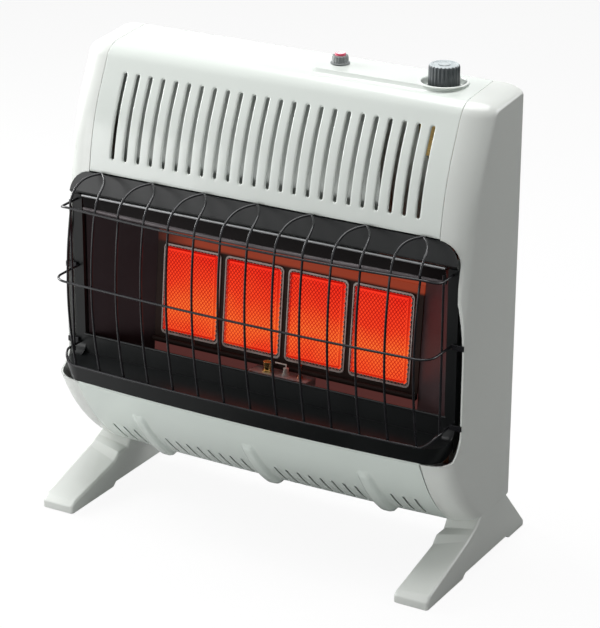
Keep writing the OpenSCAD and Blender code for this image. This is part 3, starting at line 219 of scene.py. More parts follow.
class MaterialBench(Bench):
    """Builds one material from nodes."""

    def __init__(self, name: str) -> None:
        """Starts an empty material of that name."""
        self.material = bpy.data.materials.new(name)
        self.material.use_nodes = True
        super().__init__(self.material.node_tree)
        self.tree.nodes.clear()

    def place(self, scale: Sequence[float] = (1.0, 1.0, 1.0)) -> Socket:
        """Object coordinates, in metres, stretched by a scale along each axis."""
        here = self.value("ShaderNodeTexCoord", output="Object")
        return self.value("ShaderNodeMapping", None, {"Vector": here, "Scale": scale})

    def axes(self) -> tuple[Socket, Socket, Socket]:
        """Object coordinates as three separate values, in metres."""
        here = self.value("ShaderNodeTexCoord", output="Object")
        parts = self.node("ShaderNodeSeparateXYZ", None, {0: here})
        return tuple(Socket(self, output) for output in parts.outputs)

    def noise(self, place: Socket, scale: float, detail: float = 2.0) -> Socket:
        """Noise between 0 and 1 over a place."""
        return self.value("ShaderNodeTexNoise", None, {"Vector": place, "Scale": scale, "Detail": detail})

    def mix(self, factor: Socket, low: "Socket | Colour", high: "Socket | Colour") -> Socket:
        """Colour between two colours.

        Args:
            factor: 0 gives low and 1 gives high.
            low: First colour.
            high: Second colour.

        Returns:
            The mixed colour.
        """
        ends = [c if isinstance(c, Socket) else (*c, 1.0) for c in (low, high)]
        return self.value(
            "ShaderNodeMix", {"data_type": "RGBA"}, {0: factor, 6: ends[0], 7: ends[1]}, output=2
        )

    def bump(self, height: Socket, strength: float, distance: float) -> Socket:
        """Normal of a surface with small relief, with its height given in metres."""
        return self.value(
            "ShaderNodeBump", None, {"Strength": strength, "Distance": distance, "Height": height}
        )

    def surface(self, sockets: dict[int | str, object]) -> bpy.types.Material:
        """Ends the material in a Principled surface.

        Args:
            sockets: Values and links of the surface.

        Returns:
            The finished material.
        """
        shader = self.value("ShaderNodeBsdfPrincipled", None, sockets)
        self.node("ShaderNodeOutputMaterial", None, {"Surface": shader})
        return self.material


class GeometryBench(Bench):
    """Builds one Geometry Nodes tree with named inputs and uses it on objects."""

    def __init__(self, name: str, inputs: dict[str, tuple[str, object]]) -> None:
        """Starts a tree.

        Args:
            name: Name of the tree.
            inputs: Kind of socket and default of each input, by name.
        """
        super().__init__(bpy.data.node_groups.new(name, "GeometryNodeTree"))
        face = self.tree.interface
        face.new_socket("Geometry", in_out="INPUT", socket_type="NodeSocketGeometry")
        self.keys = {}
        for label, (kind, default) in {**inputs, "Material": ("NodeSocketMaterial", None)}.items():
            made = face.new_socket(label, in_out="INPUT", socket_type=kind)
            if default is not None:
                made.default_value = default
            self.keys[label] = made.identifier
        face.new_socket("Geometry", in_out="OUTPUT", socket_type="NodeSocketGeometry")
        self.source = self.tree.nodes.new("NodeGroupInput")

    def given(self, label: str) -> Socket:
        """One of the tree's inputs."""
        return Socket(self, self.source.outputs[label])

    def wire_along(self, mesh: Socket, radius: Socket, sides: Socket | int) -> Socket:
        """Round wire along a mesh's edges."""
        section = {"Resolution": sides, "Radius": radius}
        return self.value("GeometryNodeCurveToMesh", None, {
            "Curve": self.value("GeometryNodeMeshToCurve", None, {"Mesh": mesh}),
            "Profile Curve": self.value("GeometryNodeCurvePrimitiveCircle", {"mode": "RADIUS"}, section),
            "Fill Caps": True,
        })

    def finish_merged(self, shape: Socket) -> None:
        """Ends the tree with copies that are joined where they touch."""
        plain = self.value("GeometryNodeRealizeInstances", None, {"Geometry": shape})
        self.finish(self.value("GeometryNodeMergeByDistance", None, {"Geometry": plain, "Distance": MERGE}))

    def finish(self, shape: Socket) -> None:
        """Ends the tree with plain geometry that wears the material."""
        plain = self.value("GeometryNodeRealizeInstances", None, {"Geometry": shape})
        worn = self.value(
            "GeometryNodeSetMaterial", None, {"Geometry": plain, "Material": self.given("Material")}
        )
        self.node("NodeGroupOutput", None, {0: worn})

    def bake(
        self, obj: bpy.types.Object, material: bpy.types.Material, **values: object
    ) -> bpy.types.Object:
        """Runs the tree on an object and keeps the result as the object's plain mesh.

        Args:
            obj: Object that gives the tree its geometry.
            material: What the result wears.
            values: The tree's inputs, with underscores for spaces in their names.

        Returns:
            The same object.
        """
        modifier = obj.modifiers.new(self.tree.name, "NODES")
        modifier.node_group = self.tree
        for label, content in {"Material": material, **values}.items():
            modifier[self.keys[label.replace("_", " ")]] = content
        wear(settle(obj), material)
        obj.data.polygons.foreach_set("material_index", [0] * len(obj.data.polygons))
        return obj


@dataclass(frozen=True)
class Enamel:
    """Smooth gloss paint or moulding with a faint orange peel."""

    name: str
    colour: Colour
    shade: Colour
    roughness: float = 0.26
    coat: float = 0.35
    peel: float = 0.05

    def make(self) -> bpy.types.Material:
        """Builds the material."""
        bench = MaterialBench(self.name)
        place = bench.place()
        cloud = bench.noise(place, 5.0, 3.0)
        peel = bench.noise(place, 1400.0, 1.0)
        tint = bench.mix(cloud.step(0.25, 0.75), self.colour, self.shade)
        return bench.surface({
            "Base Color": tint,
            "Roughness": self.roughness + 0.05 * (cloud - 0.5),
            "Coat Weight": self.coat,
            "Coat Roughness": 0.12,
            "Normal": bench.bump(peel, self.peel, 0.0002),
        })


@dataclass(frozen=True)
class SatinSheet:
    """Dark satin paint over pressed sheet, with soft mottling where heat has dulled it."""

    name: str
    colour: Colour
    stain: Colour
    roughness: float = 0.34
    metallic: float = 0.0
    stain_scale: float = 9.0
    specular: float = 0.5

    def make(self) -> bpy.types.Material:
        """Builds the material."""
        bench = MaterialBench(self.name)
        return bench.surface(self.sockets(bench))

    def sockets(self, bench: MaterialBench) -> dict[int | str, object]:
        """Values of the surface's sockets."""
        place = bench.place()
        cloud = bench.noise(place, self.stain_scale, 4.0)
        grain = bench.noise(place, 700.0, 2.0)
        return {
            "Base Color": bench.mix(cloud.step(0.35, 0.7), self.colour, self.stain),
            "Roughness": self.roughness + 0.16 * (cloud - 0.5) + 0.05 * grain,
            "Metallic": self.metallic,
            "Specular IOR Level": self.specular,
            "Normal": bench.bump(grain, 0.12, 0.0003),
        }


@dataclass(frozen=True)
class PlaqueLitSheet(SatinSheet):
    """Dark sheet with painted light from the plaques: a dull red glow above a height and beyond a place
    across, and a dimmer one at its foot.
    """

    glow: Colour = (0.0, 0.0, 0.0)
    foot_light: Colour = (0.0, 0.0, 0.0)
    foot_light_z: tuple[float, float] = (0.238, 0.246)
    lit_z: tuple[float, float] = (0.384, 0.390)
    lit_x: tuple[float, float] = (-0.24, -0.14)

    def make(self) -> bpy.types.Material:
        """Builds the material."""
        bench = MaterialBench(self.name)
        x, _, z = bench.axes()
        # Painted light: the emission stands in for the plaques' red light falling on the sheet.
        glow_map = z.step(*self.lit_z) * x.step(*self.lit_x)
        shown = bench.mix(z.step(*self.foot_light_z), self.foot_light, bench.mix(glow_map, (0.0, 0.0, 0.0), self.glow))
        return bench.surface({**self.sockets(bench), "Emission Color": shown, "Emission Strength": 1.0})


@dataclass(frozen=True)
class WorkedMetal:
    """Bare metal with a drawn or brushed grain along one axis."""

    name: str
    colour: Colour
    tarnish: Colour
    roughness: float = 0.28
    grain: Point = (30.0, 30.0, 900.0)

    def make(self) -> bpy.types.Material:
        """Builds the material."""
        bench = MaterialBench(self.name)
        lines = bench.noise(bench.place(self.grain), 1.0, 3.0)
        cloud = bench.noise(bench.place(), 25.0, 4.0)
        tint = bench.mix(cloud.step(0.4, 0.8), self.colour, self.tarnish)
        return bench.surface({
            "Base Color": tint,
            "Metallic": 1.0,
            "Roughness": self.roughness + 0.15 * (lines - 0.5) + 0.12 * (cloud - 0.5),
            "Normal": bench.bump(lines, 0.08, 0.0002),
        })


@dataclass(frozen=True)
class MouldedPlastic:
    """Moulded plastic with a fine spark-eroded texture."""

    name: str
    colour: Colour
    worn: Colour
    roughness: float = 0.42

    def make(self) -> bpy.types.Material:
        """Builds the material."""
        bench = MaterialBench(self.name)
        place = bench.place()
        texture = bench.noise(place, 2200.0, 2.0)
        cloud = bench.noise(place, 80.0, 3.0)
        return bench.surface({
            "Base Color": bench.mix(cloud.step(0.4, 0.75), self.colour, self.worn),
            "Roughness": self.roughness + 0.12 * (texture - 0.5),
            "Normal": bench.bump(texture, 0.15, 0.0002),
        })


@dataclass(frozen=True)
class PaleCeramic:
    """Fired ceramic or felt that doesn't glow, slightly sooted."""

    name: str
    colour: Colour
    soot: Colour
    fibre: float = 300.0

    def make(self) -> bpy.types.Material:
        """Builds the material."""
        bench = MaterialBench(self.name)
        place = bench.place()
        fibre = bench.noise(place, self.fibre, 4.0)
        cloud = bench.noise(place, 40.0, 3.0)
        return bench.surface({
            "Base Color": bench.mix(cloud.step(0.35, 0.75), self.colour, self.soot),
            "Roughness": 0.75 + 0.2 * (fibre - 0.5),
            "Normal": bench.bump(fibre, 0.3, 0.0005),
        })


@dataclass(frozen=True)
class Glow:
    """Red heat that turns towards orange lower down, over cells of fine burner holes."""

    name: str
    high: Colour
    middle: Colour
    low: Colour
    dim: Colour
    z0: float = 0.25
    z1: float = 0.385
    hole_pitch: float = 0.0024
    hole_depth: float = 0.35

    def make(self) -> bpy.types.Material:
        """Builds the material."""
        bench = MaterialBench(self.name)
        x, _, z = bench.axes()
        drift = bench.noise(bench.place(), 16.0, 2.0) - 0.5
        height = (z - self.z0) / (self.z1 - self.z0) + 0.55 * drift
        glow_map = bench.value(
            "ShaderNodeValToRGB",
            {"stops": [(0.0, self.middle), (0.3, self.low), (0.62, self.middle), (0.95, self.high)]},
            {0: height},
        )
        turn = 2.0 * math.pi / self.hole_pitch
        holes = ((x * turn).sine() * (z * turn).sine()).step(0.05, 0.7)
        shown = bench.mix(holes * self.hole_depth, glow_map, self.dim)
        return bench.surface({
            "Base Color": (0.02, 0.005, 0.003, 1.0),
            "Roughness": 0.85,
            "Specular IOR Level": 0.1,
            "Emission Color": shown,
            "Emission Strength": 1.0,
        })


class Palette:
    """Every finish of the heater, made once and shared by the pieces that wear it."""

    FINISHES = (
        Enamel("casing_enamel", (0.695, 0.738, 0.70), (0.68, 0.723, 0.686)),
        Enamel("chin_enamel", (0.685, 0.748, 0.702), (0.67, 0.732, 0.688)),
        Enamel("cover_moulding", (0.69, 0.715, 0.682), (0.675, 0.70, 0.668), 0.3, 0.25, 0.08),
        SatinSheet("bezel_satin", (0.005, 0.0058, 0.006), (0.007, 0.0080, 0.0082), 0.30, specular=0.34),
        # Painted light: the back sheet's emission is the plaques' red light falling on it.
        PlaqueLitSheet(
            "firebox_back_sheet", (0.10, 0.030, 0.020), (0.08, 0.028, 0.020), 0.6, specular=0.15,
            glow=(0.24, 0.030, 0.010), foot_light=(0.075, 0.024, 0.022),
        ),
        SatinSheet("firebox_side_sheet", (0.030, 0.019, 0.021), (0.038, 0.027, 0.029), 0.42, specular=0.25),
        SatinSheet("firebox_floor_sheet", (0.20, 0.085, 0.075), (0.26, 0.12, 0.105), 0.34, 0.8),
        SatinSheet("firebox_black_sheet", (0.004, 0.003, 0.003), (0.006, 0.004, 0.004), 0.5, specular=0.08),
        # Painted highlights: paler paint on the hood's bead and bar.
        SatinSheet("satin_bead", (0.34, 0.345, 0.35), (0.40, 0.405, 0.41), 0.30, 0.7, 30.0),
        SatinSheet("rolled_edge", (0.075, 0.065, 0.068), (0.10, 0.088, 0.092), 0.32, 0.5, 30.0),
        SatinSheet("guard_enamel", (0.012, 0.012, 0.014), (0.020, 0.020, 0.022), 0.14, 0.2, 40.0, 0.4),
        # Painted light: the burner frame's emission is the plaques' red light falling on it.
        PlaqueLitSheet(
            "burner_frame_sheet", (0.018, 0.010, 0.008), (0.026, 0.015, 0.012), 0.6, specular=0.15,
            glow=(0.24, 0.030, 0.010),
        ),
        SatinSheet("pale_zinc", (0.78, 0.79, 0.80), (0.62, 0.63, 0.64), 0.3, 0.3),
        SatinSheet("dull_zinc", (0.42, 0.44, 0.42), (0.36, 0.38, 0.365), 0.55, 0.1),
        WorkedMetal("zinc_sheet", (0.58, 0.59, 0.61), (0.48, 0.49, 0.52), 0.38),
        WorkedMetal("scaled_steel", (0.20, 0.185, 0.18), (0.12, 0.10, 0.095), 0.4),
        WorkedMetal("screen_steel", (0.11, 0.095, 0.085), (0.06, 0.05, 0.045), 0.4),
        WorkedMetal("bright_steel", (0.72, 0.72, 0.73), (0.6, 0.6, 0.62), 0.18),
        WorkedMetal("machined_brass", (0.72, 0.50, 0.20), (0.6, 0.40, 0.15), 0.25),
        WorkedMetal("drawn_copper", (0.72, 0.33, 0.19), (0.5, 0.22, 0.13), 0.27),
        WorkedMetal("cast_alloy", (0.52, 0.53, 0.54), (0.42, 0.43, 0.45), 0.5),
        MouldedPlastic("knob_slate", (0.060, 0.070, 0.074), (0.080, 0.092, 0.096), 0.36),
        MouldedPlastic("knob_face", (0.46, 0.51, 0.52), (0.52, 0.56, 0.57), 0.26),
        MouldedPlastic("collar_grey", (0.15, 0.165, 0.165), (0.19, 0.205, 0.20), 0.36),
        MouldedPlastic("button_red", (0.66, 0.075, 0.14), (0.72, 0.11, 0.17), 0.25),
        # Painted highlight: pale paint on the middle of the red button's top.
        MouldedPlastic("button_white", (0.80, 0.68, 0.72), (0.84, 0.76, 0.78), 0.25),
        PaleCeramic("ash_border", (0.46, 0.44, 0.41), (0.32, 0.29, 0.27)),
        # Dark ceramic of the plaque rims.
        PaleCeramic("sooted_ceramic", (0.060, 0.035, 0.028), (0.035, 0.020, 0.016)),
        PaleCeramic("gasket_felt", (0.72, 0.70, 0.66), (0.6, 0.57, 0.52), 900.0),
        PaleCeramic("white_insulator", (0.80, 0.78, 0.72), (0.70, 0.66, 0.58)),
        Glow(
            "plaque_glow",
            (0.95, 0.030, 0.014), (1.0, 0.070, 0.020), (1.0, 0.19, 0.034), (0.70, 0.016, 0.006),
        ),
        Glow(
            "screen_glow",
            (0.42, 0.004, 0.002), (0.52, 0.009, 0.003), (0.66, 0.035, 0.008), (0.38, 0.003, 0.002),
        ),
    )

    def __init__(self) -> None:
        """Makes every material."""
        self.made = {finish.name: finish.make() for finish in self.FINISHES}

    def __getitem__(self, name: str) -> bpy.types.Material:
        """A finish's material."""
        return self.made[name]


def linked(name: str, data: bpy.types.ID) -> bpy.types.Object:
    """Object in the scene for a mesh, a lamp or a camera."""
    obj = bpy.data.objects.new(name, data)
    bpy.context.scene.collection.objects.link(obj)
    return obj


def new_object(name: str, shape: Shape, scale: float = MM) -> bpy.types.Object:
    """Makes a mesh object at the origin.

    Args:
        name: Name of the object and of its mesh.
        shape: Points and faces.
        scale: Metres in one unit of the points.

    Returns:
        The object, in the scene.
    """
    points, faces = shape
    mesh = bpy.data.meshes.new(name)
    mesh.from_pydata((np.asarray(points, float) * scale).tolist(), [], [tuple(f) for f in faces])
    mesh.update()
    return linked(name, mesh)


def settle(obj: bpy.types.Object) -> bpy.types.Object:
    """Turns an object's modifiers into its plain mesh."""
    graph = bpy.context.evaluated_depsgraph_get()
    done = bpy.data.meshes.new_from_object(obj.evaluated_get(graph))
    old = obj.data
    obj.modifiers.clear()
    obj.data = done
    done.name = obj.name
    bpy.data.meshes.remove(old)
    return obj


def shade(obj: bpy.types.Object, angle: float = 35.0) -> bpy.types.Object:
    """Smooth shading, with edges sharper than an angle in degrees left crisp."""
    obj.data.shade_smooth()
    obj.data.set_sharp_from_angle(angle=math.radians(angle))
    return obj


def level(obj: bpy.types.Object) -> bpy.types.Object:
    """Lets an object's large faces set the shading at their edges, so that flats look flat."""
    modifier = obj.modifiers.new("level", "WEIGHTED_NORMAL")
    modifier.mode = "FACE_AREA"
    modifier.weight = 100
    modifier.keep_sharp = True
    return settle(obj)


def wear(obj: bpy.types.Object, *materials: bpy.types.Material) -> bpy.types.Object:
    """Gives an object its materials, in the order of its faces' material numbers."""
    obj.data.materials.clear()
    for material in materials:
        obj.data.materials.append(material)
    return obj


def points_of(obj: bpy.types.Object) -> np.ndarray:
    """Points of an object's mesh, as an array in the mesh's own unit."""
    flat = np.zeros(len(obj.data.vertices) * 3)
    obj.data.vertices.foreach_get("co", flat)
    return flat.reshape(-1, 3)


def move_points(obj: bpy.types.Object, points: np.ndarray) -> bpy.types.Object:
    """Sets the points of an object's mesh."""
    obj.data.vertices.foreach_set("co", np.asarray(points, float).ravel())
    obj.data.update()
    return obj


def weld(obj: bpy.types.Object, distance: float = 1e-6, outwards: bool = True) -> bpy.types.Object:
    """Merges an object's doubled points and turns its faces outwards."""
    mesh = bmesh.new()
    mesh.from_mesh(obj.data)
    bmesh.ops.remove_doubles(mesh, verts=mesh.verts, dist=distance)
    if outwards:
        bmesh.ops.recalc_face_normals(mesh, faces=mesh.faces)
    mesh.to_mesh(obj.data)
    mesh.free()
    return obj


def cut(obj: bpy.types.Object, *cutters: bpy.types.Object) -> bpy.types.Object:
    """Takes the cutters' space out of an object and removes the cutters."""
    for cutter in cutters:
        weld(cutter)
        modifier = obj.modifiers.new("cut", "BOOLEAN")
        modifier.operation = "DIFFERENCE"
        modifier.solver = "EXACT"
        modifier.object = cutter
    settle(obj)
    for cutter in cutters:
        bpy.data.objects.remove(cutter)
    return obj


def mirrored(obj: bpy.types.Object) -> bpy.types.Object:
    """Turns a right-hand piece into the left-hand one."""
    return weld(move_points(obj, points_of(obj) * (-1.0, 1.0, 1.0)))


def round_edges(
    obj: bpy.types.Object, width: float, segments: int = 2, angle: float = 35.0
) -> bpy.types.Object:
    """Rounds an object's sharp edges by a width in millimetres."""
    modifier = obj.modifiers.new("round", "BEVEL")
    modifier.width = width * MM
    modifier.segments = segments
    modifier.limit_method = "ANGLE"
    modifier.angle_limit = math.radians(angle)
    modifier.use_clamp_overlap = True
    return settle(obj)


def join(obj: bpy.types.Object, *others: bpy.types.Object) -> bpy.types.Object:
    """Adds other objects' meshes, with their materials, to an object, and removes them."""
    slots = obj.data.materials
    for other in others:
        numbers = []
        for material in other.data.materials:
            if slots.find(material.name) < 0:
                slots.append(material)
            numbers.append(slots.find(material.name))
        mesh = bmesh.new()
        mesh.from_mesh(obj.data)
        start = len(mesh.faces)
        mesh.from_mesh(other.data)
        mesh.faces.ensure_lookup_table()
        for face in mesh.faces[start:]:
            face.material_index = numbers[face.material_index]
        mesh.to_mesh(obj.data)
        mesh.free()
        bpy.data.objects.remove(other)
    return obj


def prism(
    name: str, outline: Sequence[Sequence[float]], axis: int, low: float, high: float
) -> bpy.types.Object:
    """Straight solid on a flat outline.

    Args:
        name: Name of the object.
        outline: Points across the axis, as the two other coordinates in order.
        axis: 0, 1 or 2 for a solid along X, Y or Z.
        low: Start along the axis.
        high: End along the axis.

    Returns:
        The solid.
    """
    flat = np.asarray(outline, float)
    count = len(flat)
    points = np.concatenate([np.insert(flat, axis, end, axis=1) for end in (low, high)])
    sides = [(i, (i + 1) % count, count + (i + 1) % count, count + i) for i in range(count)]
    ends = [tuple(range(count))[::-1], tuple(range(count, 2 * count))]
    return weld(new_object(name, (points, [*ends, *sides])))


def circle(x: float, y: float, radius: float, steps: int = 48) -> np.ndarray:
    """Points of a circle."""
    angle = np.linspace(0.0, 2.0 * math.pi, steps, endpoint=False)
    return np.stack([x + radius * np.cos(angle), y + radius * np.sin(angle)], axis=1)


def arc(
    x: float, y: float, radius: float, start: float, end: float, steps: int = 12
) -> list[tuple[float, float]]:
    """Points of an arc between two angles in degrees."""
    return [
        (x + radius * math.cos(math.radians(a)), y + radius * math.sin(math.radians(a)))
        for a in np.linspace(start, end, steps + 1)
    ]


def strip_faces(rows: int, count: int) -> list[tuple[int, ...]]:
    """Faces between rows of points that follow one another, each with the same number of points."""
    return [
        (k * count + i, (k + 1) * count + i, (k + 1) * count + i + 1, k * count + i + 1)
        for k in range(rows - 1)
        for i in range(count - 1)
    ]


def turned(
    name: str, profile: Sequence[tuple[float, float]], x: float, y: float, steps: int = 96
) -> bpy.types.Object:
    """Object turned through a full circle about an upright axis.

    Args:
        name: Name of the object.
        profile: Points as (radius, height).
        x: Place of the axis.
        y: Place of the axis.
        steps: Faces along the turn.

    Returns:
        The object, with its doubled points merged where the turn closes.
    """
    angles = np.radians(360.0 * np.arange(steps + 1) / steps)
    points = [(x + r * math.cos(a), y + r * math.sin(a), z) for a in angles for r, z in profile]
    return shade(weld(new_object(name, (np.array(points), strip_faces(steps + 1, len(profile)))), 1e-7))


def unit(vector: np.ndarray) -> np.ndarray:
    """Vector of length one."""
    return vector / np.linalg.norm(vector)


def inset_outline(corners: np.ndarray, moves: Sequence[float]) -> np.ndarray:
    """Outline with edge i, from corner i to the next, moved inwards by moves[i]."""
    count = len(corners)
    made = []
    for i in range(count):
        a = unit(corners[i] - corners[i - 1])
        b = unit(corners[(i + 1) % count] - corners[i])
        rows = np.array([[-a[1], a[0]], [-b[1], b[0]]])
        made.append(corners[i] + np.linalg.solve(rows, [moves[i - 1], moves[i]]))
    return np.array(made)


def round_outline(corners: np.ndarray, radii: Sequence[float], steps: int) -> np.ndarray:
    """Anticlockwise outline with round corners, which may also be hollow."""
    count = len(corners)
    made = []
    for i in range(count):
        a = unit(corners[i - 1] - corners[i])
        b = unit(corners[(i + 1) % count] - corners[i])
        opened = math.acos(float(np.clip(a @ b, -1.0, 1.0)))
        way = 1.0 if a[1] * b[0] - a[0] * b[1] > 0.0 else -1.0
        centre = corners[i] + unit(a + b) * radii[i] / math.sin(opened / 2)
        first = corners[i] + a * radii[i] / math.tan(opened / 2) - centre
        start = math.atan2(first[1], first[0])
        for k in range(steps + 1):
            angle = start + way * (math.pi - opened) * k / steps
            made.append(centre + radii[i] * np.array([math.cos(angle), math.sin(angle)]))
    return np.array(made)


def loft(rings: Sequence[np.ndarray], caps: tuple[bool, bool] = (False, False)) -> Shape:
    """Skin through rings that have equal numbers of points."""
    count = len(rings[0])
    faces = [
        (k * count + i, k * count + (i + 1) % count, (k + 1) * count + (i + 1) % count, (k + 1) * count + i)
        for k in range(len(rings) - 1)
        for i in range(count)
    ]
    if caps[0]:
        faces.append(tuple(range(count))[::-1])
    if caps[1]:
        faces.append(tuple(range((len(rings) - 1) * count, len(rings) * count)))
    return np.concatenate(rings), faces


def spread(start: float, end: float, pitch: float) -> list[float]:
    """Evenly spaced values from start to end, about a pitch apart."""
    return list(np.linspace(start, end, max(1, round(abs(end - start) / pitch)) + 1))


class Workshop:
    """Shared trees and finishes, and the placing of finished pieces."""

    def __init__(self, nodes: dict[str, bpy.types.Object]) -> None:
        """Makes the finishes and the trees.

        Args:
            nodes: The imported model's own objects, by name.
        """
        self.nodes = nodes
        self.palette = Palette()
        self.row = self._row_tree()
        self.ring = self._ring_tree()
        self.wire = self._wire_tree()
        self.lattice = self._lattice_tree()
        self.scatter = self._scatter_tree()

    @staticmethod
    def _row_tree() -> GeometryBench:
        """Tree that repeats a shape in a straight row and joins what touches."""
        bench = GeometryBench("row", {
            "Count": ("NodeSocketInt", 2),
            "Start": ("NodeSocketVector", None),
            "Step": ("NodeSocketVector", None),
        })
        line = bench.value("GeometryNodeMeshLine", {"mode": "OFFSET"}, {
            "Count": bench.given("Count"),
            "Start Location": bench.given("Start"),
            "Offset": bench.given("Step"),
        })
        row = bench.value("GeometryNodeInstanceOnPoints", None, {
            "Points": line, "Instance": bench.given("Geometry"),
        })
        bench.finish_merged(row)
        return bench

    @staticmethod
    def _ring_tree() -> GeometryBench:
        """Tree that repeats a sector round an upright axis at the origin and joins what touches."""
        bench = GeometryBench("ring", {"Count": ("NodeSocketInt", 12)})
        count = bench.given("Count")
        spots = bench.value("GeometryNodePoints", None, {"Count": count})
        index = bench.value("GeometryNodeInputIndex")
        angle = index * (2.0 * math.pi) / count
        turn = bench.value("ShaderNodeCombineXYZ", None, {"Z": angle})
        rotation = bench.value("FunctionNodeEulerToRotation", None, {0: turn})
        ring = bench.value("GeometryNodeInstanceOnPoints", None, {
            "Points": spots, "Instance": bench.given("Geometry"), "Rotation": rotation,
        })
        bench.finish_merged(ring)
        return bench

    @staticmethod
    def _wire_tree() -> GeometryBench:
        """Tree that draws a round wire along an object's edges."""
        bench = GeometryBench("wire", {"Radius": ("NodeSocketFloat", 1.0), "Sides": ("NodeSocketInt", 12)})
        wire = bench.wire_along(bench.given("Geometry"), bench.given("Radius"), bench.given("Sides"))
        bench.finish(bench.value("GeometryNodeSetShadeSmooth", None, {"Geometry": wire}))
        return bench

    @staticmethod
    def _lattice_tree() -> GeometryBench:
        """Tree that draws the strands of expanded metal between two round rectangles, lying flat."""
        bench = GeometryBench("lattice", {
            "Half Width": ("NodeSocketFloat", 40.0),
            "Half Height": ("NodeSocketFloat", 60.0),
            "Inner Width": ("NodeSocketFloat", 0.0),
            "Inner Height": ("NodeSocketFloat", 0.0),
            "Cell Width": ("NodeSocketFloat", 5.4),
            "Cell Height": ("NodeSocketFloat", 6.9),
            "Strand": ("NodeSocketFloat", 0.5),
            "Cells": ("NodeSocketInt", 60),
        })
        cells = bench.given("Cells")
        grid = bench.value("GeometryNodeMeshGrid", None, {
            "Size X": cells, "Size Y": cells, "Vertices X": cells + 1.0, "Vertices Y": cells + 1.0,
        })
        turn = bench.value("FunctionNodeEulerToRotation", None, {0: (0.0, 0.0, math.pi / 4)})
        halves = bench.value("ShaderNodeCombineXYZ", None, {
            "X": bench.given("Cell Width") * math.sqrt(0.5),
            "Y": bench.given("Cell Height") * math.sqrt(0.5),
            "Z": 1.0,
        })
        diamonds = bench.value("GeometryNodeTransform", None, {"Geometry": grid, "Rotation": turn})
        sized = bench.value("GeometryNodeTransform", None, {"Geometry": diamonds, "Scale": halves})
        spot = bench.node("ShaderNodeSeparateXYZ", None, {0: bench.value("GeometryNodeInputPosition")})
        across, along = (abs(Socket(bench, spot.outputs[i])) for i in (0, 1))
        beyond = (across - bench.given("Half Width")).at_least(along - bench.given("Half Height"))
        within = (bench.given("Inner Width") - across).at_most(bench.given("Inner Height") - along)
        outside = beyond.at_least(within).math("GREATER_THAN", 0.0)
        kept = bench.value("GeometryNodeDeleteGeometry", {"domain": "POINT"}, {
            "Geometry": sized, "Selection": outside,
        })
        bench.finish(bench.wire_along(kept, bench.given("Strand"), 4))
        return bench

    @staticmethod
    def _scatter_tree() -> GeometryBench:
        """Tree that puts a part, such as a screw, on each point of an object, turned one way."""
        bench = GeometryBench("scatter", {
            "Part": ("NodeSocketObject", None),
            "Turn": ("NodeSocketVector", None),
        })
        part = bench.value(
            "GeometryNodeObjectInfo", None, {"Object": bench.given("Part")}, output="Geometry"
        )
        rotation = bench.value("FunctionNodeEulerToRotation", None, {0: bench.given("Turn")})
        bench.finish(bench.value("GeometryNodeInstanceOnPoints", None, {
            "Points": bench.given("Geometry"), "Instance": part, "Rotation": rotation,
        }))
        return bench

    def place(self, piece: bpy.types.Object, body: Body, slot: str, *nodes: str) -> bpy.types.Object:
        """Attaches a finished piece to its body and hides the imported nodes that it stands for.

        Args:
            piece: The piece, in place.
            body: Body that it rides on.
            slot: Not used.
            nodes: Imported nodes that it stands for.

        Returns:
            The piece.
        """
        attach(piece, body.value)
        if nodes:
            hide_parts(*nodes)
        LOG.info("%s: %d faces, rides on %s", piece.name, len(piece.data.polygons), body.value)
        return piece

    def copy_of(
        self, node: str, name: str, width: float = 0.5, segments: int = 2, angle: float = 35.0
    ) -> bpy.types.Object:
        """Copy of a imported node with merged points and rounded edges.

        Args:
            node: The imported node.
            name: Name of the copy.
            width: Width of the rounding in millimetres; 0 leaves the edges as they are.
            segments: Faces across each rounding.
            angle: Edges sharper than this many degrees look crisp.

        Returns:
            The copy, not yet dressed.
        """
        obj = linked(name, self.nodes[node].data.copy())
        obj.data.name = name
        mesh = bmesh.new()
        mesh.from_mesh(obj.data)
        bmesh.ops.remove_doubles(mesh, verts=mesh.verts, dist=1e-6)
        bmesh.ops.dissolve_limit(
            mesh, angle_limit=math.radians(0.6), verts=mesh.verts, edges=mesh.edges, delimit={"NORMAL"}
        )
        mesh.to_mesh(obj.data)
        mesh.free()
        if width:
            round_edges(obj, width, segments)
        return level(shade(obj, angle))

    def dress_copy(
        self, node: str, finish: str, slot: str, width: float = 0.5, body: Body = Body.HEATER
    ) -> bpy.types.Object:
        """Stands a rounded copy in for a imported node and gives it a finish."""
        piece = wear(self.copy_of(node, f"{node}_finished", width), self.palette[finish])
        return self.place(piece, body, slot, node)

    def route(
        self, name: str, points: np.ndarray, radius: float, finish: str, sides: int = 12
    ) -> bpy.types.Object:
        """Round wire or tube along points, in millimetres.

        Args:
            name: Name of the piece.
            points: Route of the wire's centre.
            radius: Radius of the wire.
            finish: What it wears.
            sides: Faces round the wire.

        Returns:
            The wire, as a plain mesh in metres.
        """
        mesh = bpy.data.meshes.new(name)
        edges = [(i, i + 1) for i in range(len(points) - 1)]
        mesh.from_pydata(np.asarray(points, float).tolist(), edges, [])
        obj = linked(name, mesh)
        self.wire.bake(obj, self.palette[finish], Radius=radius, Sides=sides)
        weld(move_points(obj, points_of(obj) * MM))
        return shade(obj, 50.0)


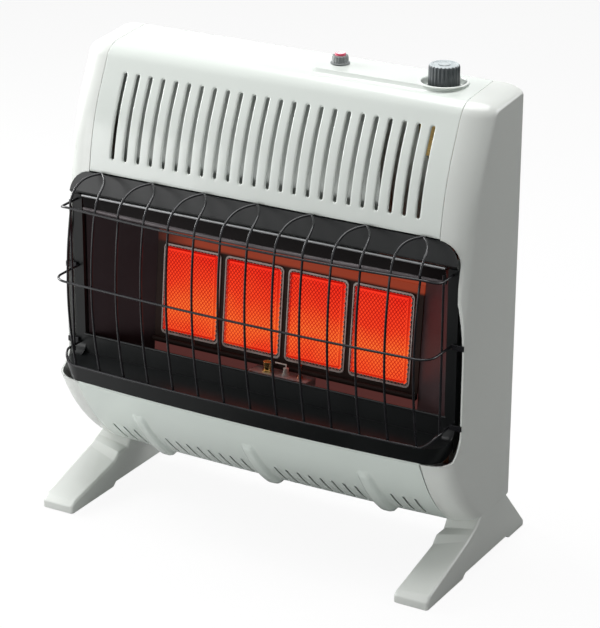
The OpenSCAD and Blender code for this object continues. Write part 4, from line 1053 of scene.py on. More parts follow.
class FlatSheet:
    """A sheet laid out flat as [across, along, depth] points, before it is bent to shape."""

    def __init__(self) -> None:
        """Starts an empty sheet."""
        self.points: list[np.ndarray] = []
        self.faces: list[tuple[int, ...]] = []
        self.count = 0

    def add(self, shape: Shape) -> None:
        """Adds points and faces."""
        points, faces = shape
        self.points.append(np.asarray(points, float))
        self.faces += [tuple(i + self.count for i in face) for face in faces]
        self.count += len(points)

    def grid(self, us: Sequence[float], vs: Sequence[float]) -> None:
        """Adds a plain area with lines at the given places across and along."""
        points = np.array([(u, v, 0.0) for v in vs for u in us])
        n = len(us)
        self.add((points, [
            (j * n + i, j * n + i + 1, (j + 1) * n + i + 1, (j + 1) * n + i)
            for j in range(len(vs) - 1)
            for i in range(n - 1)
        ]))

    def slots(self, tree: GeometryBench, cell: Shape, material: bpy.types.Material, **row: object) -> None:
        """Adds a row of equal slotted cells, repeated by a tree."""
        cells = new_object("slot_cells", cell, 1.0)
        tree.bake(cells, material, **row)
        self.add((points_of(cells), [tuple(p.vertices) for p in cells.data.polygons]))
        bpy.data.objects.remove(cells)

    def shape(self) -> Shape:
        """All points and faces so far."""
        return np.concatenate(self.points), self.faces


@dataclass(frozen=True)
class Slot:
    """A slot with round ends and a rolled edge, in a cell of a flat sheet."""

    half_w: float
    half_run: float
    roll: float
    wall: float

    def cell(self, us: Sequence[float], vs: Sequence[float]) -> Shape:
        """One cell of the sheet with the slot in its middle.

        Args:
            us: Places of the cell's points across, centred on the slot.
            vs: Places of the cell's points along, centred on the slot.

        Returns:
            Points as [across, along, depth], and faces.
        """
        edge = [(u, vs[0]) for u in us] + [(us[-1], v) for v in vs[1:]]
        edge += [(u, vs[-1]) for u in us[-2::-1]] + [(us[0], v) for v in vs[-2:0:-1]]
        rings = [[self._beside(p, 0.0, -self.wall) for p in edge]]
        for angle in ROLL_ANGLES:
            out = self.roll * (1.0 - math.cos(angle))
            rings.append([self._beside(p, out, self.roll * (math.sin(angle) - 1.0)) for p in edge])
        rings.append([(u, v, 0.0) for u, v in edge])
        n = len(edge)
        faces = [
            (k * n + i, (k + 1) * n + i, (k + 1) * n + (i + 1) % n, k * n + (i + 1) % n)
            for k in range(len(rings) - 1)
            for i in range(n)
        ]
        return np.array([p for ring in rings for p in ring]), faces

    def _beside(self, point: tuple[float, float], out: float, depth: float) -> Point:
        """Point beside the slot's edge, in the direction of a point of the cell."""
        u, v = point
        reach = self.half_w + out
        if abs(v) <= self.half_run:
            return math.copysign(reach, u), v, depth
        end = math.copysign(self.half_run, v)
        angle = math.atan2(v - end, u)
        return reach * math.cos(angle), end + reach * math.sin(angle), depth


@dataclass
class Casing:
    """Pale casing: two moulded side covers, louvred upper panel and curved lower panel."""

    half_w: float = 322.0
    cover_w: float = 42.0
    crown: float = 21.0
    wall: float = 2.5
    sheet: float = 1.5
    seam_x: float = 280.0
    seam_gap: float = 0.5
    edge_r: float = 0.8
    back_y: float = 88.0
    foot_h: float = 70.0
    bezel_z0: float = 195.0
    bezel_z1: float = 503.0
    top_z: float = 685.5
    corners: tuple[tuple[float, float], ...] = (
        (88.0, 70.0), (88.0, 685.5), (-7.2, 677.0), (-55.0, 577.0),
        (-115.1, 202.0), (-67.1, 111.7), (-13.7, 70.0),
    )
    radii: tuple[float, ...] = (4.0, 4.0, 33.0, 350.0, 28.0, 300.0, 12.0)
    shares: tuple[float, ...] = (0.0, 0.65, 1.0, 1.0, 1.0, 1.0, 0.5)
    louvres: int = 24
    louvre_w: float = 6.0
    louvre_margin: float = 36.4
    louvre_z: tuple[float, float] = (526.3, 644.3)
    louvre_roll: float = 2.3
    louvre_wall: float = 3.6
    cover_round: float = 1.1
    back_space_z: tuple[float, float] = (78.0, 668.0)
    back_space_x: float = 303.0
    dish_hole_r: float = 31.8
    igniter_hole_r: float = 9.2
    deck_x: tuple[float, float] = (48.0, 223.5)
    deck_y: float = 46.0
    deck_r: float = 33.0
    deck_z: float = 684.8
    deck_edge: float = 4.5
    dish_depth: float = 12.3
    igniter: tuple[float, float] = (62.0, 50.0)
    rim_y: float = -70.0
    heel_r: float = 40.0
    bezel_half_w: float = 310.0
    bezel_corner: float = 32.0
    bezel_back_y: float = -47.0
    chin_top: float = 194.0
    chin_bow: float = 10.0
    chin_floor_y: float = 40.0
    intake_pitch: float = 18.5
    intake_w: float = 3.8
    intake_z: tuple[float, float] = (74.5, 113.0)
    intake_roll: float = 0.4
    intake_wall: float = 1.5
    intake_counts: tuple[int, ...] = (3, 8, 8, 3)
    intake_outer: float = 46.5
    rib_pitch: float = 185.5
    rib_z: tuple[float, float] = (71.5, 154.0)
    rib_w: tuple[float, float] = (11.5, 4.0)
    rib_h: float = 4.2
    rib_tip: float = 9.0
    rib_tail: float = 8.0
    rib_power: float = 2.4

    def build(self, shop: Workshop) -> None:
        """Builds and places the casing."""
        for side in Side:
            self._cover(shop, side)
        self._upper_panel(shop)
        self._lower_panel(shop)
        shop.dress_copy("back_panel", "casing_enamel", "casing_paint", 0.4)

    def outline(self, moves: Sequence[float], trim: float, steps: int = 12) -> np.ndarray:
        """Side outline of the casing with its edges moved inwards."""
        radii = [max(r - trim, 2.0) for r in self.radii]
        return round_outline(inset_outline(np.array(self.corners), moves), radii, steps)

    def cover_rings(self, grow: float, lead: float = 0.0) -> list[np.ndarray]:
        """Rings of a side cover's outer form, made larger or smaller.

        Args:
            grow: How far the form stands outside the cover's skin.
            lead: How far the form starts inside the seam; 0 starts it at a rounded edge.

        Returns:
            Rings from the seam to the outer face.
        """
        run = self.cover_w + grow
        rings = []
        stations = [(angle, 0.0) for angle in np.linspace(0.0, 90.0, 19)]
        if lead:
            stations = [(0.0, lead), *stations]
        for angle, back in stations:
            drop = self.crown * (1.0 - math.cos(math.radians(angle)))
            moves = [-grow + share * drop for share in self.shares]
            flat = self.outline(moves, drop - grow)
            x = self.seam_x - back + run * math.sin(math.radians(angle))
            rings.append(np.insert(flat, 0, x, axis=1))
        return rings

    def _cover(self, shop: Workshop, side: Side) -> None:
        """One moulded side cover, hollow, with the bezel's space taken out of its front."""
        skin_rings = self.cover_rings(0.0)
        outer = [*self._rolled_start(skin_rings[0]), *skin_rings[1:]]
        inner = self.cover_rings(-self.wall, 0.4)
        points, faces = loft(outer, (False, True))
        count = len(outer[0])
        skin, flesh = loft(inner, (False, True))
        base = len(points)
        faces = faces + [tuple(i + base for i in face)[::-1] for face in flesh]
        faces += [(i, base + i, base + (i + 1) % count, (i + 1) % count) for i in range(count)]
        name = f"side_cover_{side.name.lower()}"
        cover = weld(new_object(f"{name}_moulded", (np.concatenate([points, skin]), faces)))
        cut(cover, *self._cover_cutters())
        round_edges(cover, self.cover_round, 3, SMOOTH)
        if side is Side.LEFT:
            mirrored(cover)
        wear(level(shade(cover, SMOOTH)), shop.palette["cover_moulding"])
        shop.place(cover, Body.HEATER, "moulding", name)

    def _rolled_start(self, ring: np.ndarray) -> list[np.ndarray]:
        """Rings that round the edge of a cover's first ring, at the seam."""
        inward = unit_rows(ring[:, 1:].mean(axis=0) - ring[:, 1:])
        rings = []
        for angle in ROLL_ANGLES:
            rolled = ring.copy()
            rolled[:, 0] += self.edge_r * (1.0 - math.cos(angle))
            rolled[:, 1:] += self.edge_r * (1.0 - math.sin(angle)) * inward
            rings.append(rolled)
        return rings

    def _cover_cutters(self) -> list[bpy.types.Object]:
        """Spaces taken out of the right-hand side cover."""
        z0, z1 = self.bezel_z0 - self.seam_gap, self.bezel_z1 + self.seam_gap
        heel = arc(self.rim_y - self.heel_r, z0 + self.heel_r, self.heel_r, -90.0, 0.0, 24)
        recess = [(self.rim_y - 300.0, z0), *heel, (self.rim_y, z1), (self.rim_y - 300.0, z1)]
        w = self.bezel_half_w + self.seam_gap
        r = self.bezel_corner + self.seam_gap
        front = [(0.0, z0), (w, z0), *arc(w - r, z1 - r, r, 0.0, 90.0), (0.0, z1)]
        (y0, y1), (b0, b1) = (self.back_y - 4.0, self.back_y + 4.0), self.back_space_z
        back = [(y0, b0), (y1, b0), (y1, b1), (y0, b1)]
        return [
            prism("recess_cutter", recess, 0, self.seam_x - 5.0, self.half_w + 5.0),
            prism("front_cutter", front, 1, -400.0, self.bezel_back_y + self.seam_gap),
            prism("back_cutter", back, 0, self.seam_x - 5.0, self.back_space_x),
        ]

    def _upper_path(self) -> np.ndarray:
        """Side section of the upper panel's skin, from its lower fold over the top to the back."""
        flat = self.outline([0.0] * 7, 0.0, 24)[::-1]
        start = next(i for i in range(len(flat)) if flat[i][1] > 300.0 and flat[i][0] < -20.0)
        turned_round = np.roll(flat, -start, axis=0)
        above = [p for p in turned_round if p[1] > self.bezel_z1 + 2.0]
        fold_z = self.bezel_z1 + 1.5
        (upper_y, upper_z), (lower_y, lower_z) = self.corners[3], self.corners[4]
        front_y = np.interp(fold_z, [lower_z, upper_z], [lower_y, upper_y])
        fold = [(front_y + y, fold_z + z) for y, z in ((12.0, 0.0), (1.6, 0.0), (0.5, 0.4), (0.1, 1.4))]
        tail = [(self.back_y, self.top_z - 12.0)]
        body = [p for p in above if p[1] < self.top_z + 1.0 and (p[0] <= 80.0 or p[1] >= self.top_z - 10.0)]
        return np.array([*fold, *body, *tail])

    def _upper_panel(self, shop: Workshop) -> None:
        """Louvred upper panel with its control deck."""
        path = Path(self._upper_path())
        half = self.seam_x - self.seam_gap
        first = self.seam_x - self.louvre_margin
        pitch = 2.0 * first / (self.louvres - 1)
        low, high = (path.where_z(z) for z in self.louvre_z)
        middle = (low + high) / 2.0
        run = (high - low - self.louvre_w) / 2.0
        slot = Slot(self.louvre_w / 2.0, run, self.louvre_roll, self.louvre_wall)
        us = spread(-pitch / 2.0, pitch / 2.0, pitch / 8.0)
        vs = spread(low - 14.0 - middle, high + 10.0 - middle, 5.0)
        enamel = shop.palette["casing_enamel"]
        sheet = FlatSheet()
        sheet.slots(
            shop.row, slot.cell(us, vs), enamel,
            Count=self.louvres, Start=(-first, middle, 0.0), Step=(pitch, 0.0, 0.0),
        )
        v0, v1 = vs[0] + middle, vs[-1] + middle
        side = first + pitch / 2.0
        outer = [side, *spread(side + 3.0, half - 1.2, 3.0), half - 0.5, half - 0.15, half]
        inner = [u + k * pitch for k in np.linspace(-first, first, self.louvres) / pitch for u in us[:-1]]
        across = [-u for u in outer[::-1]] + inner[1:] + outer
        for strip in (outer, [-u for u in outer[::-1]]):
            sheet.grid(strip, [v + middle for v in vs])
        sheet.grid(across, spread(0.0, v0, 4.0))
        sheet.grid(across, spread(v1, path.length, 2.4))
        points, faces = sheet.shape()
        self._roll_ends(points)
        bent = path.bend(points)
        self._raise_deck(bent)
        panel = self._press("upper_front_panel_pressed", (bent, faces))
        holes = {
            "dish_cutter": circle(self.deck_x[1], self.deck_y, self.dish_hole_r),
            "igniter_cutter": circle(*self.igniter, self.igniter_hole_r),
        }
        reach = (self.deck_z - 30.0, self.deck_z + 10.0)
        cut(panel, *(prism(name, hole, 2, *reach) for name, hole in holes.items()))
        wear(level(shade(panel, SMOOTH)), enamel)
        join(panel, wear(self._dish(), enamel))
        shop.place(panel, Body.HEATER, "casing_paint", "upper_front_panel")

    def _roll_ends(self, points: np.ndarray) -> None:
        """Rounds the two ends of a flat sheet down into the seams."""
        half = self.seam_x - self.seam_gap
        ends = np.clip(np.abs(points[:, 0]) - (half - self.edge_r), 0.0, self.edge_r)
        points[:, 2] -= self.edge_r - np.sqrt(self.edge_r**2 - ends**2)

    def _press(self, name: str, skin: Shape) -> bpy.types.Object:
        """Sheet of even thickness behind a bent skin."""
        panel = weld(new_object(name, skin), 1e-5, False)
        thick = panel.modifiers.new("sheet", "SOLIDIFY")
        thick.thickness = self.sheet * MM
        thick.offset = -1.0
        return settle(panel)

    def _raise_deck(self, points: np.ndarray) -> None:
        """Lifts the level control deck out of the sloping top, with a soft edge."""
        x0, x1 = self.deck_x
        along = np.clip(points[:, 0], x0, x1)
        away = np.hypot(points[:, 0] - along, points[:, 1] - self.deck_y)
        share = np.clip((self.deck_r + 1.0 - away) / self.deck_edge, 0.0, 1.0)
        share = share * share * (3.0 - 2.0 * share)
        top = (points[:, 2] > self.top_z - 22.0) & (points[:, 1] > 5.0) & (points[:, 1] < self.back_y - 4.0)
        points[:, 2] += np.where(top, share * np.maximum(self.deck_z - points[:, 2], 0.0), 0.0)

    def _dish(self) -> bpy.types.Object:
        """Round dish that the knob stands in, with a raised rim."""
        z = self.deck_z
        low = z - self.dish_depth
        profile = [
            (31.4, z - 1.4), (34.6, z - 0.4), (34.3, z + 0.5), (33.4, z + 1.1), (32.3, z + 1.2),
            (31.2, z + 0.8), (30.5, z - 0.2), (30.2, z - 2.0), (29.9, z - 6.0), (29.4, z - 8.8),
            (27.8, z - 11.0), (25.2, z - 12.1), (22.0, low), (9.2, low), (9.0, low - 0.2), (9.0, low - 1.3),
            (9.3, low - 1.5), (22.0, low - 1.5), (26.0, low - 1.2), (29.4, z - 11.6), (31.0, z - 8.8),
            (31.4, z - 5.0), (31.4, z - 1.4),
        ]
        return turned("dish", profile, self.deck_x[1], self.deck_y)

    def _chin_path(self, x: float) -> np.ndarray:
        """Side section of the lower panel's skin at a place across, from the underside up."""
        bow = self.chin_bow * (1.0 - (x / self.seam_x) ** 2)
        c = np.array(self.corners)
        belly = c[5] - (bow, 0.0)
        keel = c[6] - (0.8 * bow, 0.0)
        edge = np.array((c[4][0] + 2.6 - bow, self.chin_top))
        start = (self.chin_floor_y, self.foot_h)
        ring = np.array([(self.chin_floor_y, 60.0 + self.chin_top), edge, belly, keel, start])
        steps = 16
        made = round_outline(ring, [2.0, 3.0, 300.0, 12.0, 0.01], steps)
        skin = made[steps + 1:-steps - 1][::-1]
        return np.array([start, *skin])

    def _lower_panel(self, shop: Workshop) -> None:
        """Curved lower panel with embossed ribs and air slots."""
        middle_path = Path(self._chin_path(0.0))
        low, high = (middle_path.where_z(z) for z in self.intake_z)
        middle = (low + high) / 2.0
        pitch, rib = self.intake_pitch, self.rib_pitch
        run = (high - low - self.intake_w) / 2.0
        slot = Slot(self.intake_w / 2.0, run, self.intake_roll, self.intake_wall)
        us = spread(-pitch / 2.0, pitch / 2.0, pitch / 8.0)
        vs = spread(low - middle - 8.0, high - middle + 8.0, 3.5)
        enamel = shop.palette["chin_enamel"]
        sheet = FlatSheet()
        half = self.seam_x - self.seam_gap
        centres = (-rib - self.intake_outer, -rib / 2.0, rib / 2.0, rib + self.intake_outer)
        lines = [-half, -half + 0.15, -half + 0.5, -half + 1.2]
        for number, (centre, count) in enumerate(zip(centres, self.intake_counts)):
            start = centre - (count - 1) * pitch / 2.0
            sheet.slots(
                shop.row, slot.cell(us, vs), enamel,
                Count=count, Start=(start, middle, 0.0), Step=(pitch, 0.0, 0.0),
            )
            gap = spread(lines[-1], start - pitch / 2.0, 1.6 if number else 3.0)
            sheet.grid(gap if number else [*lines[:-1], *gap], [v + middle for v in vs])
            lines = [*lines[:-1], *gap]
            for k in range(count):
                lines += [start + k * pitch + u for u in us[1:]]
        tail = [*spread(lines[-1], half - 1.2, 3.0), half - 0.5, half - 0.15, half]
        sheet.grid(tail, [v + middle for v in vs])
        lines = [*lines[:-1], *tail]
        sheet.grid(lines, spread(0.0, vs[0] + middle, 4.0))
        sheet.grid(lines, spread(vs[-1] + middle, middle_path.length, 4.0))
        points, faces = sheet.shape()
        self._roll_ends(points)
        points[:, 2] += self._rib_height(points[:, 0], points[:, 1], middle_path)
        bent = np.zeros_like(points)
        for x in np.unique(np.round(points[:, 0], 4)):
            chosen = np.abs(points[:, 0] - x) < 6e-5
            path = Path(self._chin_path(float(x)))
            here = points[chosen].copy()
            here[:, 1] *= path.length / middle_path.length
            bent[chosen] = path.bend(here)
        panel = self._press("lower_front_panel_pressed", (bent, faces))
        wear(level(shade(panel, SMOOTH)), enamel)
        shop.place(panel, Body.HEATER, "casing_paint", "lower_front_panel")

    def _rib_height(self, u: np.ndarray, v: np.ndarray, path: "Path") -> np.ndarray:
        """Relief of the three ribs, which widen from a round upper end down to the underside."""
        bottom, top = path.where_z(self.rib_z[0]) - self.rib_tail, path.where_z(self.rib_z[1])
        share = np.clip((top - v) / (top - bottom), 0.0, 1.0)
        width = self.rib_w[0] + self.rib_w[1] * share
        height = self.rib_h + self.rib_h * share
        past = np.clip((v - top + self.rib_tip) / self.rib_tip, 0.0, 1.0)
        round_top = np.sqrt(1.0 - past**2)
        round_low = np.clip((v - bottom + 2.0 * self.rib_tail) / (2.0 * self.rib_tail), 0.0, 1.0)
        relief = np.zeros_like(u)
        for centre in (-self.rib_pitch, 0.0, self.rib_pitch):
            aside = np.abs(u - centre) / (width * np.maximum(round_top, 0.05))
            crest = np.clip(1.0 - aside**self.rib_power, 0.0, 1.0)
            crest = crest * crest * (3.0 - 2.0 * crest)
            relief = np.maximum(relief, height * crest * round_top * round_low)
        return relief


def unit_rows(rows: np.ndarray) -> np.ndarray:
    """Each row of an array made one long."""
    return rows / np.linalg.norm(rows, axis=1, keepdims=True)


class Path:
    """Side section of a bent sheet, as [y, z] points along it."""

    def __init__(self, points: np.ndarray) -> None:
        """Measures the section."""
        steps = np.linalg.norm(np.diff(points, axis=0), axis=1)
        kept = np.concatenate([[True], steps > 1e-6])
        self.points = points[kept]
        self.at = np.concatenate([[0.0], np.cumsum(np.linalg.norm(np.diff(self.points, axis=0), axis=1))])
        self.length = float(self.at[-1])

    def where_z(self, z: float) -> float:
        """Distance along the section at which it first rises to a height."""
        for i in range(1, len(self.points)):
            if self.points[i - 1][1] <= z <= self.points[i][1]:
                share = (z - self.points[i - 1][1]) / max(self.points[i][1] - self.points[i - 1][1], 1e-9)
                return float(self.at[i - 1] + share * (self.at[i] - self.at[i - 1]))
        return self.length

    def bend(self, flat: np.ndarray) -> np.ndarray:
        """Wraps [across, along, depth] points onto the section."""
        step = 0.4
        along = unit_rows(self._spot(flat[:, 1] + step) - self._spot(flat[:, 1] - step))
        out = np.stack([-along[:, 1], along[:, 0]], axis=1)
        placed = self._spot(flat[:, 1]) + flat[:, 2:3] * out
        return np.stack([flat[:, 0], placed[:, 0], placed[:, 1]], axis=1)

    def _spot(self, distances: np.ndarray) -> np.ndarray:
        """Points of the section at distances along it, held at its two ends."""
        return np.stack([np.interp(distances, self.at, self.points[:, k]) for k in (0, 1)], axis=1)


@dataclass
class Feet:
    """Two moulded feet that the casing stands on."""

    x0: float = 266.4
    x1: float = 319.0
    toe_y: float = -154.0
    heel_y: float = 154.0
    back_y: float = 88.0
    foot_h: float = 70.0
    toe_h: float = 15.0
    edge: float = 4.0
    radii: tuple[float, ...] = (2.0, 2.0, 2.0, 2.0, 2.0, 2.0, 3.0, 9.0, 6.0, 5.0, 4.0, 4.0, 6.0, 5.0, 4.0)

    def build(self, shop: Workshop, casing: Casing) -> None:
        """Builds and places both feet."""
        for side in Side:
            name = f"foot_{side.name.lower()}"
            foot = weld(new_object(f"{name}_moulded", loft(self._rings(), (True, True))))
            cover = weld(new_object("cover_cutter", loft(casing.cover_rings(0.3, 45.0), (True, True))))
            cut(foot, cover)
            if side is Side.LEFT:
                mirrored(foot)
            wear(shade(foot, 30.0), shop.palette["cover_moulding"])
            shop.place(foot, Body.HEATER, "moulding", name)

    def _outlines(self) -> tuple[np.ndarray, np.ndarray]:
        """Side outlines of a foot's inner and outer faces, with square corners."""
        t, h, b, f = self.toe_y, self.heel_y, self.back_y, self.foot_h
        sole = [(t, 0), (t + 109, 0), (t + 116, 6), (h - 59, 6), (h - 50, 0), (h, 0)]
        inner = [
            (h, 6), (b, f - 0.3), (b - 70, f - 0.3), (b - 85, f - 9), (b - 93, f - 20.4), (b - 116, f - 20),
            (b - 128, f - 31), (t + 8, self.toe_h + 2), (t, self.toe_h - 3),
        ]
        outer = [
            (h, 8), (b, f + 9), (b - 70, f + 14), (b - 89, f - 3), (b - 97, f - 7), (b - 108, f - 12),
            (b - 120, f - 17), (t + 9, self.toe_h + 5), (t, self.toe_h - 3),
        ]
        return np.array(sole + inner, float), np.array(sole + outer, float)

    def _rings(self) -> list[np.ndarray]:
        """Rings from a foot's inner to its outer face, drawn in towards both to round its edges."""
        inner, outer = self._outlines()
        turns = np.radians(np.linspace(0.0, 90.0, 6))
        pulls = [(self.edge * (1.0 - math.sin(a)), self.edge * (1.0 - math.cos(a))) for a in turns]
        stations = [(self.x0 + back, pull) for back, pull in pulls[::-1]]
        stations += [(self.x1 - back, pull) for back, pull in pulls]
        rings = []
        for x, pull in stations:
            share = (x - self.x0) / (self.x1 - self.x0)
            moves = [0.2 * pull] * 5 + [pull] * (len(inner) - 5)
            flat = inset_outline(inner + (outer - inner) * share, moves)
            rings.append(np.insert(round_outline(flat, self.radii, 5), 0, x, axis=1))
        return rings


@dataclass
class Firebox:
    """Bezel round the fire and the dark sheets behind it."""

    sheets: tuple[tuple[str, str], ...] = (
        ("firebox_back", "firebox_back_sheet"),
        ("firebox_side_left", "firebox_side_sheet"),
        ("firebox_side_right", "firebox_side_sheet"),
    )
    flange_half: float = 216.0
    flange_y: tuple[float, float] = (-3.0, 4.0)
    flange_z: tuple[float, float] = (213.0, 213.85)
    fascia_y: float = -70.0
    fascia_z: tuple[float, float] = (446.0, 467.0)
    fascia_half: float = 291.0
    fascia_bow: float = 12.0
    bar_r: float = 3.2
    bead_r: float = 2.2
    bar_back: float = 4.0
    edge_reach: float = 0.2

    def build(self, shop: Workshop) -> None:
        """Builds and places the bezel and the sheets."""
        shop.dress_copy("bezel", "bezel_satin", "bezel_paint", 0.7)
        for node, finish in self.sheets:
            shop.dress_copy(node, finish, "firebox_steel", 0.25)
        self._floor_sheet(shop)
        self._hood(shop)
        shop.dress_copy("heat_shield", "dull_zinc", "zinc_steel", 0.25)
        shop.dress_copy("base_pan", "zinc_sheet", "zinc_steel", 0.25)

    def _floor_sheet(self, shop: Workshop) -> None:
        """Firebox floor with a folded flange that closes the seam under the back sheet."""
        floor = shop.copy_of("firebox_floor", "firebox_floor_finished", 0.25)
        sides = (-self.flange_half, self.flange_half)
        corners = np.array([(x, y, z) for x in sides for y in self.flange_y for z in self.flange_z])
        faces = [(0, 1, 3, 2), (4, 6, 7, 5), (0, 4, 5, 1), (2, 3, 7, 6), (0, 2, 6, 4), (1, 5, 7, 3)]
        finish = shop.palette["firebox_floor_sheet"]
        join(wear(floor, finish), wear(new_object("floor_flange", (corners, faces)), finish))
        shop.place(floor, Body.HEATER, "firebox_steel", "firebox_floor")

    def _hood(self, shop: Workshop) -> None:
        """Black hood whose bead and bar along the edges of its fascia wear paler paint as painted
        highlights.
        """
        hood = shop.copy_of("firebox_hood", "firebox_hood_pressed", 0.0, angle=50.0)
        # The bead and bar wear the paler finishes, painted highlights on the black hood.
        wear(hood, *(shop.palette[name] for name in ("firebox_black_sheet", "rolled_edge", "satin_bead")))
        low, high = self.fascia_z
        for face in hood.data.polygons:
            x, y, z = (v / MM for v in face.center)
            bar_y = self.fascia_y + self.bar_back - self.fascia_bow * (1.0 - (x / self.fascia_half) ** 2)
            on_bar = math.hypot(y - bar_y, z - low) < self.bar_r + self.edge_reach
            on_bead = math.hypot(y - self.fascia_y, z - high) < self.bead_r + self.edge_reach
            face.material_index = 1 if on_bar else 2 if on_bead else 0
        shop.place(hood, Body.HEATER, "firebox_steel", "firebox_hood")


@dataclass
class Guard:
    """Wire guard: seven hairpins behind three bowed rails, with an upright wire at each end."""

    wire_r: float = 1.75
    touch: float = 3.65
    face_y: float = -67.5
    depth: float = 76.0
    corner: float = 22.0
    end_x: float = 302.0
    leg_span: float = 277.8
    hairpins: int = 7
    leg_foot_z: float = 221.9
    apex_y: float = -70.0
    apex_z: float = 505.05
    end_wire_y: float = -90.0
    end_wire_past: float = 6.0
    loop_lean: float = 0.88
    loop_point: float = 3.1
    sides: int = 14
    rails: dict[str, tuple[float, float, float, float]] = field(default_factory=lambda: {
        "bottom": (223.35, 238.3, 15.3, 8.0),
        "middle": (357.6, 357.6, 0.0, 9.0),
        "top": (464.8, 459.0, 7.3, 15.7),
    })

    def build(self, shop: Workshop) -> None:
        """Builds and places every wire and the clips."""
        for number in range(1, self.hairpins + 1):
            self._lay(shop, f"guard_hairpin_{number}", self._hairpin(number))
        for name, rail in self.rails.items():
            self._lay(shop, f"guard_rail_{name}", self._rail(rail))
        low, high = self.rails["bottom"][1] - self.end_wire_past, self.rails["top"][1] + self.end_wire_past
        for side in Side:
            x = side.value * (self.end_x - self.touch)
            ends = np.array([(x, self.end_wire_y, z) for z in np.linspace(low, high, 12)])
            self._lay(shop, f"guard_end_wire_{side.name.lower()}", ends)
        shop.dress_copy("guard_clips", "guard_enamel", "guard_wire", 0.4)

    def _lay(self, shop: Workshop, node: str, points: np.ndarray) -> None:
        """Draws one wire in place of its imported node."""
        wire = shop.route(f"{node}_wire", points, self.wire_r, "guard_enamel", self.sides)
        shop.place(wire, Body.HEATER, "guard_wire", node)

    def _rail_y(self, rail: tuple[float, float, float, float], x: float) -> float:
        """Place of a rail's front run at a place across."""
        return self.face_y - self.depth + rail[2] + rail[3] * (x / (self.end_x - self.corner)) ** 2

    def _rail(self, rail: tuple[float, float, float, float]) -> np.ndarray:
        """Route of a rail from one end to the other."""
        run = self.end_x - self.corner
        front_y = self._rail_y(rail, run)
        rise = rail[1] - rail[0]
        half = [(x, self._rail_y(rail, x), rail[0]) for x in np.linspace(0.0, run, 15)[1:]]
        for angle in np.linspace(9.0, 90.0, 10):
            a = math.radians(angle)
            half.append((
                run + self.corner * math.sin(a),
                front_y + self.corner * (1.0 - math.cos(a)),
                rail[0] + rise * (1.0 - math.cos(2.0 * a)) / 2.0,
            ))
        half.append((self.end_x, self.face_y - 0.3, rail[1]))
        left = [(-x, y, z) for x, y, z in half[::-1]]
        return np.array([*left, (0.0, self._rail_y(rail, 0.0), rail[0]), *half])

    def _leg(self, x: float) -> list[Point]:
        """Upright leg of a hairpin, bulging behind the three rails."""
        heights = [rail[0] for rail in self.rails.values()]
        places = [self._rail_y(rail, x) + self.touch for rail in self.rails.values()]
        curve = np.polyfit(heights, places, 2)
        levels = np.linspace(self.leg_foot_z, self.rails["top"][0], 17)
        return [(x, float(np.polyval(curve, z)), float(z)) for z in levels]

    def _hairpin(self, number: int) -> np.ndarray:
        """Route of a hairpin: up one leg, over a tight loop on the bezel's edge and down the other."""
        pitch = 2.0 * self.leg_span / (2 * self.hairpins - 1)
        middle = (2 * number - 1 - self.hairpins) * pitch
        half = pitch / 2.0
        left, right = self._leg(middle - half), self._leg(middle + half)
        start_y = (left[-1][1] + right[-1][1]) / 2.0
        base = self.rails["top"][0]
        bend = []
        for angle in np.linspace(6.0, 87.0, 20):
            a = math.radians(angle)
            rise = math.sin(self.loop_lean * a) / math.sin(self.loop_lean * math.pi / 2.0)
            bend.append((
                half * (1.0 - (1.0 - math.cos(a)) ** self.loop_point),
                self.apex_y - (self.apex_y - start_y) * math.cos(a),
                base + (self.apex_z - base) * rise,
            ))
        up = [(middle - w, y, z) for w, y, z in bend]
        down = [(middle + w, y, z) for w, y, z in bend[::-1]]
        return np.array([*left, *up, (middle, self.apex_y, self.apex_z), *down, *right[::-1]])


